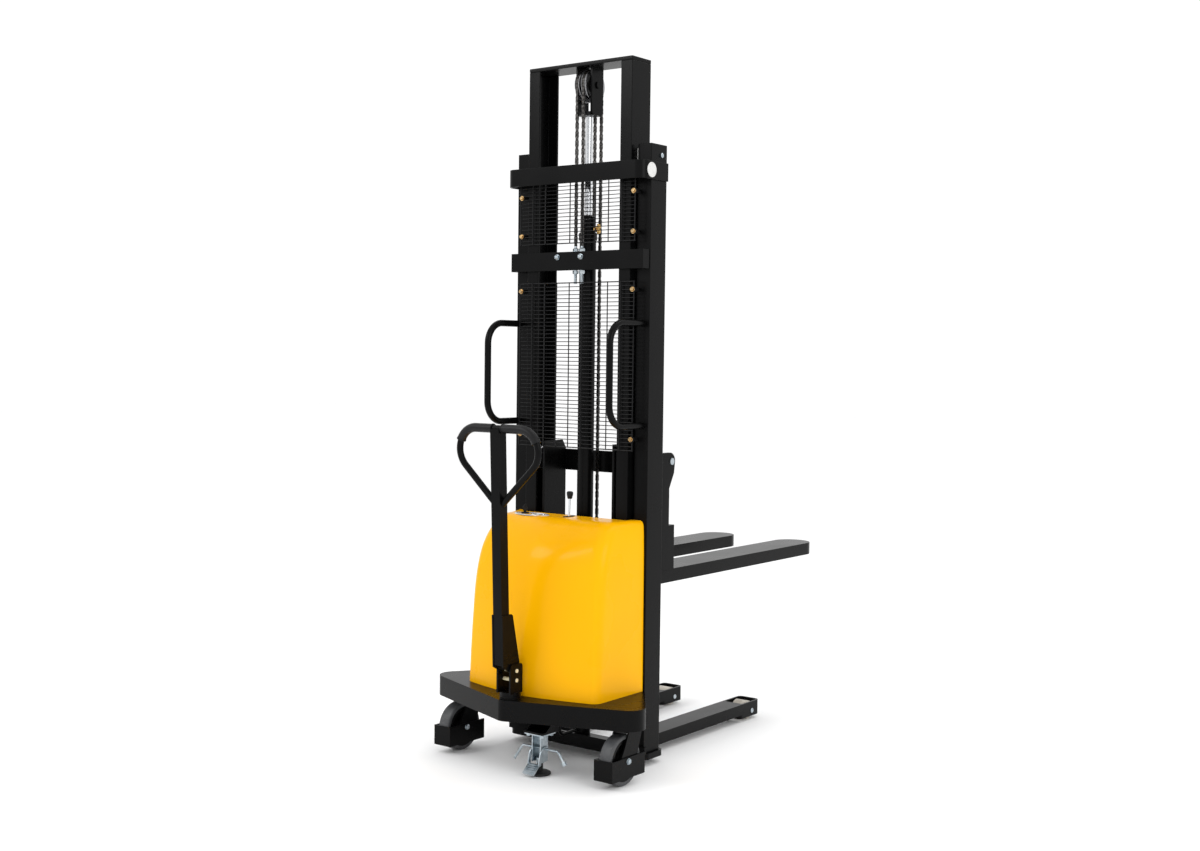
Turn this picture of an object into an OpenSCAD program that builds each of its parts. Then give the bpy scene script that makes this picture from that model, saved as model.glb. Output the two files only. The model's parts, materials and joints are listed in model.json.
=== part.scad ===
// Walkie stacker with a two-stage mast. X is across, +Y points to the fork tips, +Z is up.
// Inside the modules Y = 0 is the rear face of the outer mast and Z = 0 is the floor.

/* [Mast] */
// Overall width of the outer mast
mast_w = 626; // [520:2:740]
// Depth of an outer mast column, front to back
mast_d = 98; // [85:1:118]
// Height of the outer mast above the floor
mast_h = 2270; // [1900:10:2700]
// Width of an outer column flange
mast_flange = 60; // [50:1:66]
// Wall of the rolled column sections
mast_wall = 9; // [6:0.5:12]
// Gap between the outer flange tips and the inner mast
mast_gap = 12; // [9:1:16]
// Depth of an inner mast column
inner_d = 116; // [100:1:130]
// Width of an inner column flange
inner_flange = 51; // [44:1:58]
// How far the inner mast stands out behind the outer mast
inner_out = 25; // [18:1:32]
// Height that the inner mast is raised in the rest pose
lift_rest = 315; // [250:5:400]
// Largest further travel of the inner mast
lift_up = 1300; // [900:10:1400]

/* [Forks] */
// Fork length in front of its shank
fork_l = 1107; // [900:1:1250]
// Width of one fork
fork_w = 160; // [150:1:180]
// Height of one fork blade
fork_t = 50; // [45:1:60]
// Width over both forks
forks_over = 548; // [530:1:620]
// Height of the fork top in the rest pose
fork_top = 703; // [640:1:760]
// Wall of the folded fork
fork_wall = 8; // [5:0.5:10]

/* [Legs] */
// Width of one support leg
leg_w = 98; // [80:1:104]
// Height of the top of a support leg
leg_top = 75; // [70:1:82]
// Height of the bottom of a support leg
leg_bottom = 30; // [24:1:34]
// Distance from the mast to the front end of a leg
leg_end = 935; // [800:5:1050]
// Diameter of a load roller
roller_d = 74; // [66:1:82]
// Width of a load roller
roller_w = 62; // [40:1:66]

/* [Chassis] */
// Height of the chassis plate's top face
plate_top = 279; // [260:1:300]
// Depth of the skirt under the chassis plate's top face
skirt_h = 75; // [60:1:82]
// Width over the chassis plate
plate_w = 940; // [880:2:980]
// Distance from the mast back to the point of the chassis plate
plate_apex = 441; // [425:1:470]
// Radius of the plate's rounded side corners
plate_r = 60; // [50:1:66]
// Thickness of the chassis plate and of its skirt
plate_t = 8; // [6:0.5:10]

/* [Cover] */
// Width over the cover at its foot
cover_w = 612; // [580:2:620]
// Height of the cover's top face above the floor
cover_top = 905; // [860:1:960]
// Distance from the mast back to the cover's rear corners
cover_back = 285; // [270:1:295]
// Extra depth of the cover at its middle
cover_bulge = 56; // [40:1:60]
// Wall of the cover
cover_wall = 4; // [3:0.5:5]

/* [Wheels] */
// Diameter of a rear wheel
wheel_d = 180; // [160:1:190]
// Width of a rear wheel
wheel_w = 50; // [40:1:54]
// Distance of a rear wheel from the middle
wheel_x = 379; // [370:1:386]
// Distance from the mast back to the rear axle
wheel_y = 240; // [232:1:246]
// Distance of the swivel axis in front of the rear axle
wheel_trail = 40; // [36:1:44]

/* [Tiller] */
// Height of the tiller's pivot
tiller_z = 380; // [375:1:395]
// Distance from the mast back to the tiller's steering axis
tiller_y = 388; // [384:1:392]
// Length from the tiller's pivot to its top bar
tiller_l = 866; // [760:2:900]
// Lean of the tiller in the rest pose
tiller_lean = 2.2; // [0:0.1:4]
// Side of the square tiller post
post_w = 40; // [34:1:42]
// Diameter of the tiller loop's tube
loop_d = 24; // [18:1:28]
// Half width of the tiller loop on its tube's centre line
loop_half = 181; // [160:1:200]

/* [Grab bars] */
// Diameter of a grab bar's tube
grab_d = 25; // [20:1:30]
// Reach of a grab bar behind the mast
grab_out = 200; // [160:2:230]
// Height of the upper arm of a grab bar
grab_top = 1622; // [1540:2:1700]
// Height of the lower arm of a grab bar
grab_bottom = 1250; // [1210:2:1330]

/* [Lift] */
// Outer diameter of the lift cylinder
barrel_d = 62; // [56:1:64]
// Diameter of the piston rod
rod_d = 28; // [24:1:34]
// Distance of the cylinder's axis in front of the mast's rear face
cyl_y = 37; // [36:0.5:38]
// Pitch radius of the chain sheaves
sheave_r = 55; // [53:0.5:56]
// Distance of each chain from the middle
chain_x = 14.7; // [14:0.1:16]

/* [Hidden] */
$fn = 48;
run = 0.05;
gap = 0.3;
fork_tip_r = fork_w / 2;
heel_step = 2;
inner_w = mast_w - 2 * (mast_flange + mast_gap);
inner_h = mast_h - 95;
inner_top = mast_h + lift_rest;
inner_bottom = inner_top - inner_h;
inner_front = inner_d - inner_out;
inner_inside = inner_w / 2 - inner_flange;
base_bottom = 25;
base_top = 47;
base_back = -11;
base_beam_top = 75;
side_x = inner_inside - 20;
side_t = 10;
side_front = max(mast_d, inner_front) + 22;
cross_t = 12;
base_front = side_front - 2;
shank_back = side_front + cross_t;
shank_front = shank_back + 104;
fork_bottom = fork_top - fork_t;
fork_x = (forks_over - fork_w) / 2;
fork_tip = shank_front + fork_l;
leg_x = fork_x;
roller_y = leg_end - 60;
tip_box_back = leg_end - 130;
pivot_y = -tiller_y - 4;
post_back = 41;
grip_d = loop_d + 8;
rear_y = pivot_y - tiller_l * sin(tiller_lean) - post_back * cos(tiller_lean) - grip_d / 2;
y0 = -(fork_tip + rear_y) / 2;
beam_t = 8;
beam_back = inner_out + 15;
beam_bottom = 1819 / 2270 * mast_h;
beam_h = 69;
strap_t = 7;
strap_back = 65;
strap_h = 66;
strap_bottom = mast_h - 131;
chain_back = cyl_y - sheave_r;
chain_front = cyl_y + sheave_r;
sheave_z = inner_top - 78;
head_z = inner_top - 190;
gland_top = beam_bottom + 202;
rod_low = gland_top - lift_up - 130;
mesh_y = -(inner_out + 8);
mesh_t = 3;
mesh_w = mast_w - 61 - grab_d;
lower_mesh_z = 1157 / 2270 * mast_h;
lower_mesh_h = beam_bottom - 44 - lower_mesh_z;
upper_mesh_z = beam_bottom + beam_h + 30;
upper_mesh_h = strap_bottom - upper_mesh_z + 10;
upper_tabs = [0.15, 0.78];
lower_tabs = [0.07, 0.95];
cross_low_z = fork_top - heel_step;
cross_low_h = 168;
cross_up_z = fork_top + 357;
cross_up_h = 81;
side_top = fork_top + 474;
lug_z = fork_top + 406;
anchor_z = cross_low_z + 92;
roller_up_z = side_top - 70;
roller_low_z = fork_top + 70;
run_roller_d = inner_d - 2 * mast_wall - 1;
mast_roller_d = mast_d - 2 * mast_wall - 1;
mast_roller_z = inner_bottom + 60;
steer_arm = 38;
steer_z = 226;
arm_z = 238;
king_d = 30;
king_y = -(wheel_y - wheel_trail);
guard_w = 80;
guard_h = 74;
guard_z = 30;
lock_x = 80;
lock_y = -315;
lock_plate_z = 148;
cover_front = -(inner_out + 12);
notch = inner_w / 2 + 8;
cover_sides = -2;
panel_z = cover_top - 5;
lever_x = 16;
lever_y = -85;
lever_z = 815;
key_x = -176;
key_y = -104;
gauge_x = -98;
gauge_y = -120;
tank_top = 745;
pipe_x = 212;
pipe_y = -103;
foot_z = base_beam_top + 11;
BLACK = "#1b1b1d";
ZINC = "#c9ced2";

// Points of an arc from angle a to angle b
function arc(x, y, r, a, b, n = 8) =
    [for (i = [0:n]) [x + r * cos(a + (b - a) * i / n), y + r * sin(a + (b - a) * i / n)]];
function flip(points) = [for (i = [len(points) - 1:-1:0]) [-points[i][0], points[i][1]]];

module place() { translate([0, y0, 0]) children(); }
module both() { children(); mirror([1, 0, 0]) children(); }
module box(x, y, z) {
    translate([x[0], y[0], z[0]]) cube([x[1] - x[0], y[1] - y[0], z[1] - z[0]]);
}
module across(x, y, z, d) {
    translate([x[0], y, z]) rotate([0, 90, 0]) cylinder(d = d, h = x[1] - x[0]);
}
module along(x, y, z, d) {
    translate([x, y[0], z]) rotate([-90, 0, 0]) cylinder(d = d, h = y[1] - y[0]);
}
module up(x, y, z, d) { translate([x, y, z[0]]) cylinder(d = d, h = z[1] - z[0]); }
// Outline drawn in Y and Z, given a thickness along X
module side_plate(x, t) { translate([x, 0, 0]) rotate([90, 0, 90]) linear_extrude(t) children(); }
module round_rect(x, y, r) {
    translate([x[0] + r, y[0]]) square([x[1] - x[0] - 2 * r, y[1] - y[0]]);
    translate([x[0], y[0] + r]) square([x[1] - x[0], y[1] - y[0] - 2 * r]);
    for (u = [x[0] + r, x[1] - r], v = [y[0] + r, y[1] - r]) translate([u, v]) circle(r);
}
// Ring-shaped bolt head with a shank that seats in it
module hex_nut(d, h) { cylinder(d = d, h = h, $fn = 6); }

// ---- chassis ----
plate_cx = plate_w / 2 - plate_r;
plate_cy = -230;
plate_slope = atan((plate_apex + plate_cy - plate_r) / plate_cx);
plate_exit = -atan((mast_w / 2 + 2 - plate_cx) / plate_cy);
function plate_half(r) = concat(arc(0, -plate_apex + 40, 40 - (plate_r - r), -90, -70, 3),
    arc(plate_cx, plate_cy, r, -68, 34, 10));
module plate_outline(inset, front) {
    half = plate_half(plate_r - inset);
    polygon(concat(half, [[mast_w / 2 + 2 - inset, front]], [[-mast_w / 2 - 2 + inset, front]], flip(half)));
}
module chassis_plate() color(BLACK) {
    difference() {
        union() {
            translate([0, 0, plate_top - plate_t]) linear_extrude(plate_t) plate_outline(0, 0);
            translate([0, 0, plate_top - skirt_h]) linear_extrude(skirt_h - plate_t) difference() {
                plate_outline(0, 0);
                plate_outline(plate_t, 1);
                translate([-mast_w / 2 - 2, -185]) square([mast_w + 4, 200]);
                for (s = [-1, 1]) translate([s * 430 - 60, -190]) square([120, 200]);
            }
            up(0, -tiller_y, [plate_top - 24, plate_top + 6], 76);
            for (s = [-1, 1]) up(s * wheel_x, king_y, [plate_top - 26, plate_top - plate_t], 54);
        }
        box([-notch, notch], [cover_front, 10], [0, plate_top + 10]);
        up(0, -tiller_y, [0, plate_top + 50], king_d + 2 * run);
        for (s = [-1, 1]) up(s * wheel_x, king_y, [0, plate_top - plate_t], king_d + 2 * run);
        up(pipe_x, pipe_y, [0, plate_top + 1], 17);
    }
    // Carrier of the floor lock, with its gussets under the tie bar
    box([lock_x - 44, lock_x + 44], [lock_y + 48, lock_y + 56], [lock_plate_z + 5, plate_top - plate_t]);
    box([lock_x - 44, lock_x + 44], [lock_y - 40, lock_y + 48], [lock_plate_z + 5, lock_plate_z + 13]);
    for (s = [-1, 1]) side_plate(lock_x + s * 41 - 3, 6)
        polygon([[lock_y - 20, lock_plate_z + 13], [lock_y + 48, lock_plate_z + 13],
            [lock_y + 48, lock_plate_z + 66]]);
}
module mast_base() color(BLACK) {
    half = mast_w / 2 + 12;
    difference() {
        translate([0, 0, base_bottom]) linear_extrude(base_top - base_bottom)
            round_rect([-half, half], [base_back, base_front], 30);
        for (s = [-1, 1]) box([s * leg_x - leg_w / 2 - gap, s * leg_x + leg_w / 2 + gap],
            [64, base_front + 1], [0, base_top + 1]);
    }
    box([-half, half], [base_back, -1], [base_top, base_beam_top]);
}
module mast_column(s) color(BLACK) {
    x = mast_w / 2;
    mirror([s < 0 ? 1 : 0, 0, 0]) difference() {
        box([x - mast_flange, x], [0, mast_d], [base_top, mast_h]);
        box([x - mast_flange - 1, x - mast_wall], [mast_wall, mast_d - mast_wall], [base_top - 1, mast_h + 1]);
    }
}
module upper_strap() color(BLACK) {
    half = mast_w / 2 + strap_t;
    translate([0, 0, strap_bottom]) linear_extrude(strap_h) difference() {
        round_rect([-half, half], [-strap_back, mast_d + 60], 38);
        round_rect([-half + strap_t, half - strap_t], [-strap_back + strap_t, mast_d + 100], 38 - strap_t);
        translate([-half - 1, mast_d]) square([2 * half + 2, 200]);
    }
}
module mid_beam() color(BLACK) {
    half = mast_w / 2 - 3;
    pad = mast_w / 2 - mast_flange + 4;
    block = [-34, 34];
    difference() {
        union() {
            box([-half, half], [-beam_back, beam_t - beam_back], [beam_bottom, beam_bottom + beam_h]);
            for (s = [0, 1]) mirror([s, 0, 0])
                box([pad, half], [beam_t - beam_back, 0], [beam_bottom, beam_bottom + beam_h]);
            box(block, [beam_t - beam_back, cyl_y - barrel_d / 2 + 4], [beam_bottom + 3, beam_bottom + beam_h - 3]);
        }
        for (s = [-1, 1]) up(s * chain_x, chain_back, [beam_bottom, beam_bottom + beam_h], 12 + 2 * run);
        up(0, cyl_y, [beam_bottom - 1, beam_bottom + beam_h + 1], barrel_d + 0.6);
    }
}
// Flat grille of crossing bars, with a border on each side
module mesh_guard(z, h) color("#3a3a3c") {
    bar = 2.6;
    nx = 9;
    nz = round(h / 46);
    px = (mesh_w - bar) / nx;
    pz = (h - bar) / nz;
    translate([0, mesh_y, z]) rotate([90, 0, 0]) linear_extrude(mesh_t) difference() {
        translate([-mesh_w / 2, 0]) square([mesh_w, h]);
        for (i = [0:nx - 1], k = [0:nz - 1])
            translate([-mesh_w / 2 + bar + i * px, bar + k * pz]) square([px - bar, pz - bar]);
    }
}
module strap_caps() color("white") both()
    across([mast_w / 2 + strap_t, mast_w / 2 + strap_t + 3], -8, strap_bottom + strap_h / 2, 54);
module grab_bars() color(BLACK) {
    r = 78;
    both() translate([mast_w / 2 - 28, 0, 0]) {
        along(0, [-grab_out + r, 0], grab_top, grab_d);
        along(0, [-grab_out + r, 0], grab_bottom, grab_d);
        up(0, -grab_out, [grab_bottom + r, grab_top - r], grab_d);
        for (e = [[grab_top - r, 90], [grab_bottom + r, 180]])
            translate([0, -grab_out + r, e[0]]) rotate([0, 90, 0]) rotate([0, 0, e[1] + 90])
                rotate_extrude(angle = 90) translate([r, 0]) circle(d = grab_d);
    }
}
module lift_cylinder() color(BLACK) {
    difference() {
        union() {
            up(0, cyl_y, [base_top, gland_top - 90], barrel_d);
            up(0, cyl_y, [gland_top - 90, gland_top], barrel_d - 4);
            along(0, [cyl_y - barrel_d / 2 - 7, cyl_y - barrel_d / 2 + 5], foot_z, 20);
        }
        up(0, cyl_y, [base_top + 20, gland_top - 40], barrel_d - 14);
        up(0, cyl_y, [base_top + 20, gland_top + 1], rod_d + 2 * run);
        across([barrel_d / 2 - 10, barrel_d], cyl_y, gland_top - 47, 12);
    }
}
module hydraulic_fitting() color("goldenrod") {
    across([barrel_d / 2 - 10, barrel_d / 2 + 24], cyl_y, gland_top - 47, 12 - 2 * run);
    across([barrel_d / 2 + 8, barrel_d / 2 + 18], cyl_y, gland_top - 47, 20);
    up(barrel_d / 2 + 18, cyl_y, [gland_top - 66, gland_top - 28], 12);
}
module elbow(r, d) { rotate_extrude(angle = 90) translate([r, 0]) circle(d = d); }
// Pipe from the pump block, under the chassis plate, to the foot of the cylinder
module hydraulic_pipe() color(ZINC) {
    d = 12;
    r = 26;
    x = pipe_x;
    y = pipe_y;
    z = plate_top - plate_t - 20;
    up(x, y, [z + r, plate_top + 200], d);
    across([r, x - r], y, z, d);
    up(0, y, [foot_z + r, z - r], d);
    along(0, [y + r, cyl_y - barrel_d / 2 - 7], foot_z, d);
    translate([x - r, y, z + r]) rotate([90, 0, 0]) rotate([0, 0, -90]) elbow(r, d);
    translate([r, y, z - r]) rotate([90, 0, 0]) rotate([0, 0, 90]) elbow(r, d);
    translate([0, y + r, foot_z + r]) rotate([90, 0, 90]) rotate([0, 0, 180]) elbow(r, d);
}
module support_leg(s) color(BLACK) {
    half = leg_w / 2;
    x = s * leg_x;
    difference() {
        union() {
            box([x - half, x + half], [64 + gap, tip_box_back], [leg_bottom, leg_top]);
            translate([0, 0, 15]) linear_extrude(leg_top - 15)
                round_rect([x - half, x + half], [tip_box_back - 24, leg_end], 20);
        }
        box([x - half + 6, x + half - 6], [63, tip_box_back - 40], [leg_bottom - 20, leg_top - 6]);
        translate([0, 0, -1]) linear_extrude(leg_top + 2)
            round_rect([x - half + 8, x + half - 8], [tip_box_back, leg_end - 8], 14);
        box([x - half - 1, x + half + 1], [0, tip_box_back - 22], [0, leg_bottom]);
        across([x - half - 1, x + half + 1], roller_y, roller_d / 2, 20 + 2 * run);
    }
}
// Bolts, screws, nuts, threaded chain anchors and axles that are fixed to the frame
module frame_bolts() color(ZINC) {
    for (s = [-1, 1]) {
        across([s * leg_x - leg_w / 2 - 3, s * leg_x + leg_w / 2 + 3], roller_y, roller_d / 2, 20);
        across([s > 0 ? mast_w / 2 : -mast_w / 2 - 7, s > 0 ? mast_w / 2 + 7 : -mast_w / 2], 61, mast_h - 40, 18);
        up(s * chain_x, chain_back, [beam_bottom - 50, beam_bottom + beam_h + 22], 12);
        for (z = [beam_bottom - 12, beam_bottom + beam_h]) translate([s * chain_x, chain_back, z]) difference() {
            hex_nut(22, 12);
            translate([0, 0, -1]) cylinder(d = 12, h = 14);
        }
        for (g = [[upper_mesh_z, upper_mesh_h, upper_tabs], [lower_mesh_z, lower_mesh_h, lower_tabs]], k = g[2]) {
            x = s * (mesh_w / 2 - 8);
            translate([x, mesh_y - mesh_t, g[0] + k * g[1]]) rotate([90, 0, 0]) hex_nut(15, 7);
            along(x, [mesh_y, 0], g[0] + k * g[1], 14);
        }
    }
    for (x = [-84, 26]) along(x, [-beam_back - 6, -beam_back], beam_bottom + 50, 18);
}
module mast_pads() color("#d8d8d0") both() difference() {
    box([inner_w / 2 + gap, mast_w / 2 - mast_wall], [mast_wall + 0.5, mast_d - mast_wall - 0.5], [mast_h - 66, mast_h - 14]);
    box([0, mast_w / 2 - mast_flange - 1], [-1, mast_wall + 3], [0, mast_h]);
}

// ---- cover and what it holds ----
// One level of the cover: half widths xf at the mast and x at the rear, corner y and its radius r
function cover_level(x, y, bulge, r, xf) = concat(arc(x - r, -y + r, r, 0, -80, 6), [[0, -y - bulge]],
    flip(arc(x - r, -y + r, r, 0, -80, 6)), [[-xf, cover_sides], [xf, cover_sides]]);
module cover_solid(inset) {
    h = cover_top - plate_top;
    levels = [[0, 0, 0, 1, 34], [0.40, 4, 12, 0.96, 36], [0.62, 8, 20, 0.85, 42], [0.78, 13, 36, 0.7, 50],
        [0.88, 20, 58, 0.5, 58], [0.95, 30, 92, 0.3, 62], [0.985, 42, 122, 0.15, 60], [1, 58, 152, 0, 50]];
    hull() for (v = levels)
        translate([0, 0, plate_top + v[0] * h - (v[0] > 0 ? inset : 1) - 0.02]) linear_extrude(0.02)
            polygon(cover_level(cover_w / 2 - v[1] * 0.55 - inset, cover_back - v[2] - inset,
                cover_bulge * v[3], v[4], cover_w / 2 - v[1] * 0.15 - inset));
}
module cover() color("#fdb813") {
    strip_top = plate_top + 0.85 * (cover_top - plate_top);
    difference() {
        cover_solid(0);
        difference() {
            cover_solid(cover_wall);
            box([-cover_w, cover_w], [cover_front - cover_wall, 20], [0, cover_top + 1]);
        }
        box([-cover_w, cover_w], [-500, 10], [0, plate_top]);
        box([-notch, notch], [cover_front, 10], [plate_top - 1, cover_top + 1]);
        box([-notch, notch], [cover_front - cover_wall - 1, 10], [plate_top - 1, cover_top - 14]);
        for (s = [0, 1]) mirror([s, 0, 0])
            box([notch + cover_wall, cover_w / 2 - 14], [cover_front - cover_wall - 1, 10], [plate_top - 1, strip_top]);
        box([lever_x - 8, lever_x + 8], [lever_y - 34, lever_y + 34], [cover_top - 80, cover_top + 1]);
        up(key_x, key_y, [cover_top - 60, cover_top + 1], 24);
        up(gauge_x, gauge_y, [cover_top - 60, cover_top + 1], 50);
    }
}
module partition_plate() color(BLACK)
    box([-250, 250], [cover_front - cover_wall - 4, cover_front - cover_wall - 1], [plate_top, cover_top - 30]);
module battery() color("#26262a") {
    box([-276, 10], [-246, -64], [plate_top, plate_top + 190]);
    box([-280, 14], [-250, -60], [plate_top + 190, plate_top + 214]);
    for (x = [-230, -40]) up(x, -100, [plate_top + 214, plate_top + 232], 20);
}
module power_pack() color("#3a3d42") {
    up(160, -150, [plate_top, plate_top + 200], 112);
    box([100, 220], [-205, -95], [plate_top + 200, plate_top + 250]);
    box([-20, 262], [-216, -64], [plate_top + 250, tank_top]);
}
module valve_block() color("#8d9094") {
    difference() {
        box([lever_x - 32, lever_x + 32], [lever_y - 34, lever_y + 34], [tank_top, lever_z + 22]);
        box([lever_x - 9, lever_x + 9], [lever_y - 40, lever_y + 40], [lever_z - 14, lever_z + 23]);
    }
    across([lever_x - 34, lever_x + 34], lever_y, lever_z, 8);
}
module key_switch() color("#2b2b2e") difference() {
    union() {
        up(key_x, key_y, [cover_top - 62, cover_top - 0.5], 23.6);
        up(key_x, key_y, [cover_top, cover_top + 5], 30);
        up(key_x, key_y, [cover_top - 1, cover_top + 1], 23.6);
    }
    up(key_x, key_y, [cover_top - 20, cover_top + 6], 9);
}
module key() color(ZINC) {
    up(key_x, key_y, [cover_top - 19, cover_top + 8], 9 - 2 * run);
    side_plate(key_x - 1.5, 3) translate([key_y, cover_top + 20]) circle(d = 28);
}
module battery_gauge() color("#202024") {
    up(gauge_x, gauge_y, [cover_top - 34, cover_top], 49.4);
    up(gauge_x, gauge_y, [cover_top, cover_top + 5], 58);
}
module control_lever() color(ZINC) difference() {
    union() {
        across([lever_x - 8, lever_x + 8], lever_y, lever_z, 22);
        translate([lever_x, lever_y, lever_z]) rotate([-3, 0, 0]) cylinder(d = 8, h = cover_top - lever_z + 66);
    }
    across([lever_x - 9, lever_x + 9], lever_y, lever_z, 8 + 2 * run);
}
module control_knob() color(BLACK)
    translate([lever_x, lever_y, lever_z]) rotate([-3, 0, 0]) translate([0, 0, cover_top - lever_z + 66]) {
        cylinder(d1 = 18, d2 = 25, h = 14);
        translate([0, 0, 14]) cylinder(d = 25, h = 14);
    }

// ---- floor lock ----
module floor_lock_body() color(ZINC) translate([lock_x, lock_y, 0]) {
    box([-42, 42], [-36, 36], [lock_plate_z, lock_plate_z + 5]);
    for (x = [-32, 32], y = [-26, 26]) translate([x, y, lock_plate_z - 7]) hex_nut(14, 7);
    difference() {
        box([-21, 21], [-20, 20], [48, lock_plate_z]);
        box([-17, 17], [-30, 14], [40, lock_plate_z - 4]);
        across([-30, 30], 4, 94, 9 + 2 * run);
    }
    difference() {
        up(0, 2, [43, 62], 30);
        up(0, 2, [42, 63], 22 + 2 * run);
    }
}
module floor_lock_pedal() color(ZINC) translate([lock_x, lock_y, 0]) {
    for (s = [-1, 1]) side_plate(s * 24.5 - 2, 4) polygon([[-6, 104], [14, 104], [14, 84], [-20, 70],
        [-24, 41], [-30, 37], [-37, 39], [-35, 56], [-28, 84]]);
    side_plate(-25.5, 51) polygon([[-32, 46], [-67, 16], [-63, 11], [-28, 42]]);
    for (i = [-2:2]) translate([0, -48 + i * 6.5, 30 + i * 5.6]) rotate([41, 0, 0])
        box([-21, 21], [-1.5, 1.5], [0, 4.5]);
    across([-74, 74], 4, 94, 9);
    lock_arm(34);
    mirror([1, 0, 0]) lock_arm(62);
    translate([74, 4, 80]) rotate([90, 0, 0]) rotate([0, 0, 35]) translate([14, -34, 0]) rotate([90, 0, 0])
        cylinder(d = 18, h = 14);
}
// Arm of the release bar: it bends down from the bar's end, h long after the bend
module lock_arm(h) {
    r = 14;
    translate([74, 4, 94 - r]) rotate([90, 0, 0]) rotate([0, 0, 35]) {
        rotate_extrude(angle = 55) translate([r, 0]) circle(d = 9);
        translate([r, 0, 0]) rotate([90, 0, 0]) cylinder(d = 9, h = h);
    }
}
module floor_lock_foot() color("#222222") translate([lock_x, lock_y + 2, 0]) {
    up(0, 0, [14, 58], 22);
    up(0, 0, [0, 14], 80);
}

// ---- inner mast ----
module inner_column(s) color(BLACK) mirror([s < 0 ? 1 : 0, 0, 0]) {
    x = inner_w / 2;
    difference() {
        box([x - inner_flange, x], [-inner_out, inner_front], [inner_bottom, inner_top - 14]);
        box([x - inner_flange - 1, x - mast_wall], [mast_wall - inner_out, inner_front - mast_wall],
            [inner_bottom - 1, inner_top]);
    }
    across([x, x + 34], mast_d / 2, mast_roller_z, 26);
}
module inner_cross_members() color(BLACK) {
    box([-inner_w / 2, inner_w / 2], [-inner_out, inner_front], [inner_top - 14, inner_top]);
    box([-inner_inside, inner_inside], [-inner_out, 9 - inner_out], [inner_bottom, inner_bottom + 50]);
}
module crosshead() color(BLACK) {
    for (s = [-1, 1]) side_plate(s * 34 - 4, 8) difference() {
        union() {
            translate([cyl_y - 34, head_z + 20]) square([68, inner_top - 14 - head_z - 20]);
            translate([cyl_y - 14, head_z]) square([28, 30]);
            for (t = [-1, 1]) translate([cyl_y + t * 14, head_z + 20]) circle(20);
        }
        translate([cyl_y, sheave_z]) circle(12.5);
    }
    box([-30, 30], [cyl_y - 30, cyl_y + 30], [head_z, head_z + 14]);
    across([-44, 44], cyl_y, sheave_z, 25 - 2 * run);
}
module piston_rod() color("#e6eaee") {
    up(0, cyl_y, [rod_low, head_z], rod_d);
    up(0, cyl_y, [rod_low, rod_low + 40], barrel_d - 14 - 2 * run);
}
module chain_sheaves() color("#6d7075") translate([0, cyl_y, sheave_z]) rotate([0, 90, 0]) both_x() {
    difference() {
        translate([0, 0, chain_x - 10]) cylinder(r = sheave_r + 6, h = 20);
        translate([0, 0, chain_x - 7]) difference() {
            cylinder(r = sheave_r + 8, h = 14);
            translate([0, 0, -1]) cylinder(r = sheave_r - 5 - gap, h = 16);
        }
        translate([0, 0, -1]) cylinder(d = 25, h = 60);
    }
}
module both_x() { children(); mirror([0, 0, 1]) children(); }
module chain_rear() color("#5a5c60") for (s = [-1, 1])
    box([s * chain_x - 6, s * chain_x + 6], [chain_back - 5, chain_back + 5],
        [beam_bottom + beam_h + 22.5, sheave_z]);
module chain_front() color("#5a5c60") for (s = [-1, 1])
    box([s * chain_x - 6, s * chain_x + 6], [chain_front - 5, chain_front + 5], [anchor_z + 62.5, sheave_z]);
module chain_wrap() color("#5a5c60") for (s = [-1, 1])
    translate([s * chain_x, cyl_y, sheave_z]) rotate([0, 90, 0]) rotate([0, 0, 90]) rotate_extrude(angle = 180)
        translate([sheave_r - 5, -6]) square([10, 12]);
module mast_rollers() color("#b8bcc0") both() difference() {
    across([mast_w / 2 - mast_flange + 2, mast_w / 2 - mast_wall - 14], mast_d / 2, mast_roller_z, mast_roller_d);
    across([0, mast_w], mast_d / 2, mast_roller_z, 26 + 2 * run);
}

// ---- carriage ----
module carriage_frame() color(BLACK) {
    out = forks_over / 2;
    pin_y = inner_front / 2 - inner_out / 2;
    box([-out + 12, out - 12], [side_front, shank_back], [cross_low_z, cross_low_z + cross_low_h]);
    box([-out + 12, out - 12], [side_front, shank_back], [cross_up_z, cross_up_z + cross_up_h]);
    difference() {
        box([-32, 32], [chain_front - 12, side_front], [anchor_z, anchor_z + 22]);
        for (s = [-1, 1]) up(s * chain_x, chain_front, [anchor_z - 1, anchor_z + 23], 12 + 2 * run);
    }
    for (s = [0, 1]) mirror([s, 0, 0]) {
        // Side plate that carries the rollers
        side_plate(side_x - side_t, side_t) polygon([[-10, fork_top + 20], [side_front, fork_top],
            [side_front, side_top - 30], [side_front - 20, side_top], [-10, side_top]]);
        for (z = [roller_up_z, roller_low_z]) across([side_x, side_x + 44], pin_y, z, 30);
        // Upright beside the fork, with the lug at its top
        side_plate(out - 12, 12) difference() {
            union() {
                translate([side_front, cross_low_z]) square([80, lug_z - cross_low_z]);
                translate([side_front, cross_low_z]) square([shank_front - side_front, cross_low_h]);
                polygon([[side_front + 60, lug_z - 116], [side_front + 76, lug_z - 108],
                    [shank_front - 6, lug_z - 44], [shank_front, lug_z], [side_front + 60, lug_z]]);
                translate([shank_front - 34, lug_z]) circle(34);
                translate([side_front, lug_z - 20]) square([shank_front - 34 - side_front, 54]);
            }
            translate([shank_front - 22, lug_z]) circle(d = 26 + 2 * run);
        }
        side_plate(out - fork_w, 12)
            translate([shank_back, cross_low_z]) square([shank_front - shank_back, cross_low_h]);
        box([out - fork_w + 12, out - 12], [shank_front - 12, shank_front],
            [cross_low_z, cross_low_z + cross_low_h]);
    }
}
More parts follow.
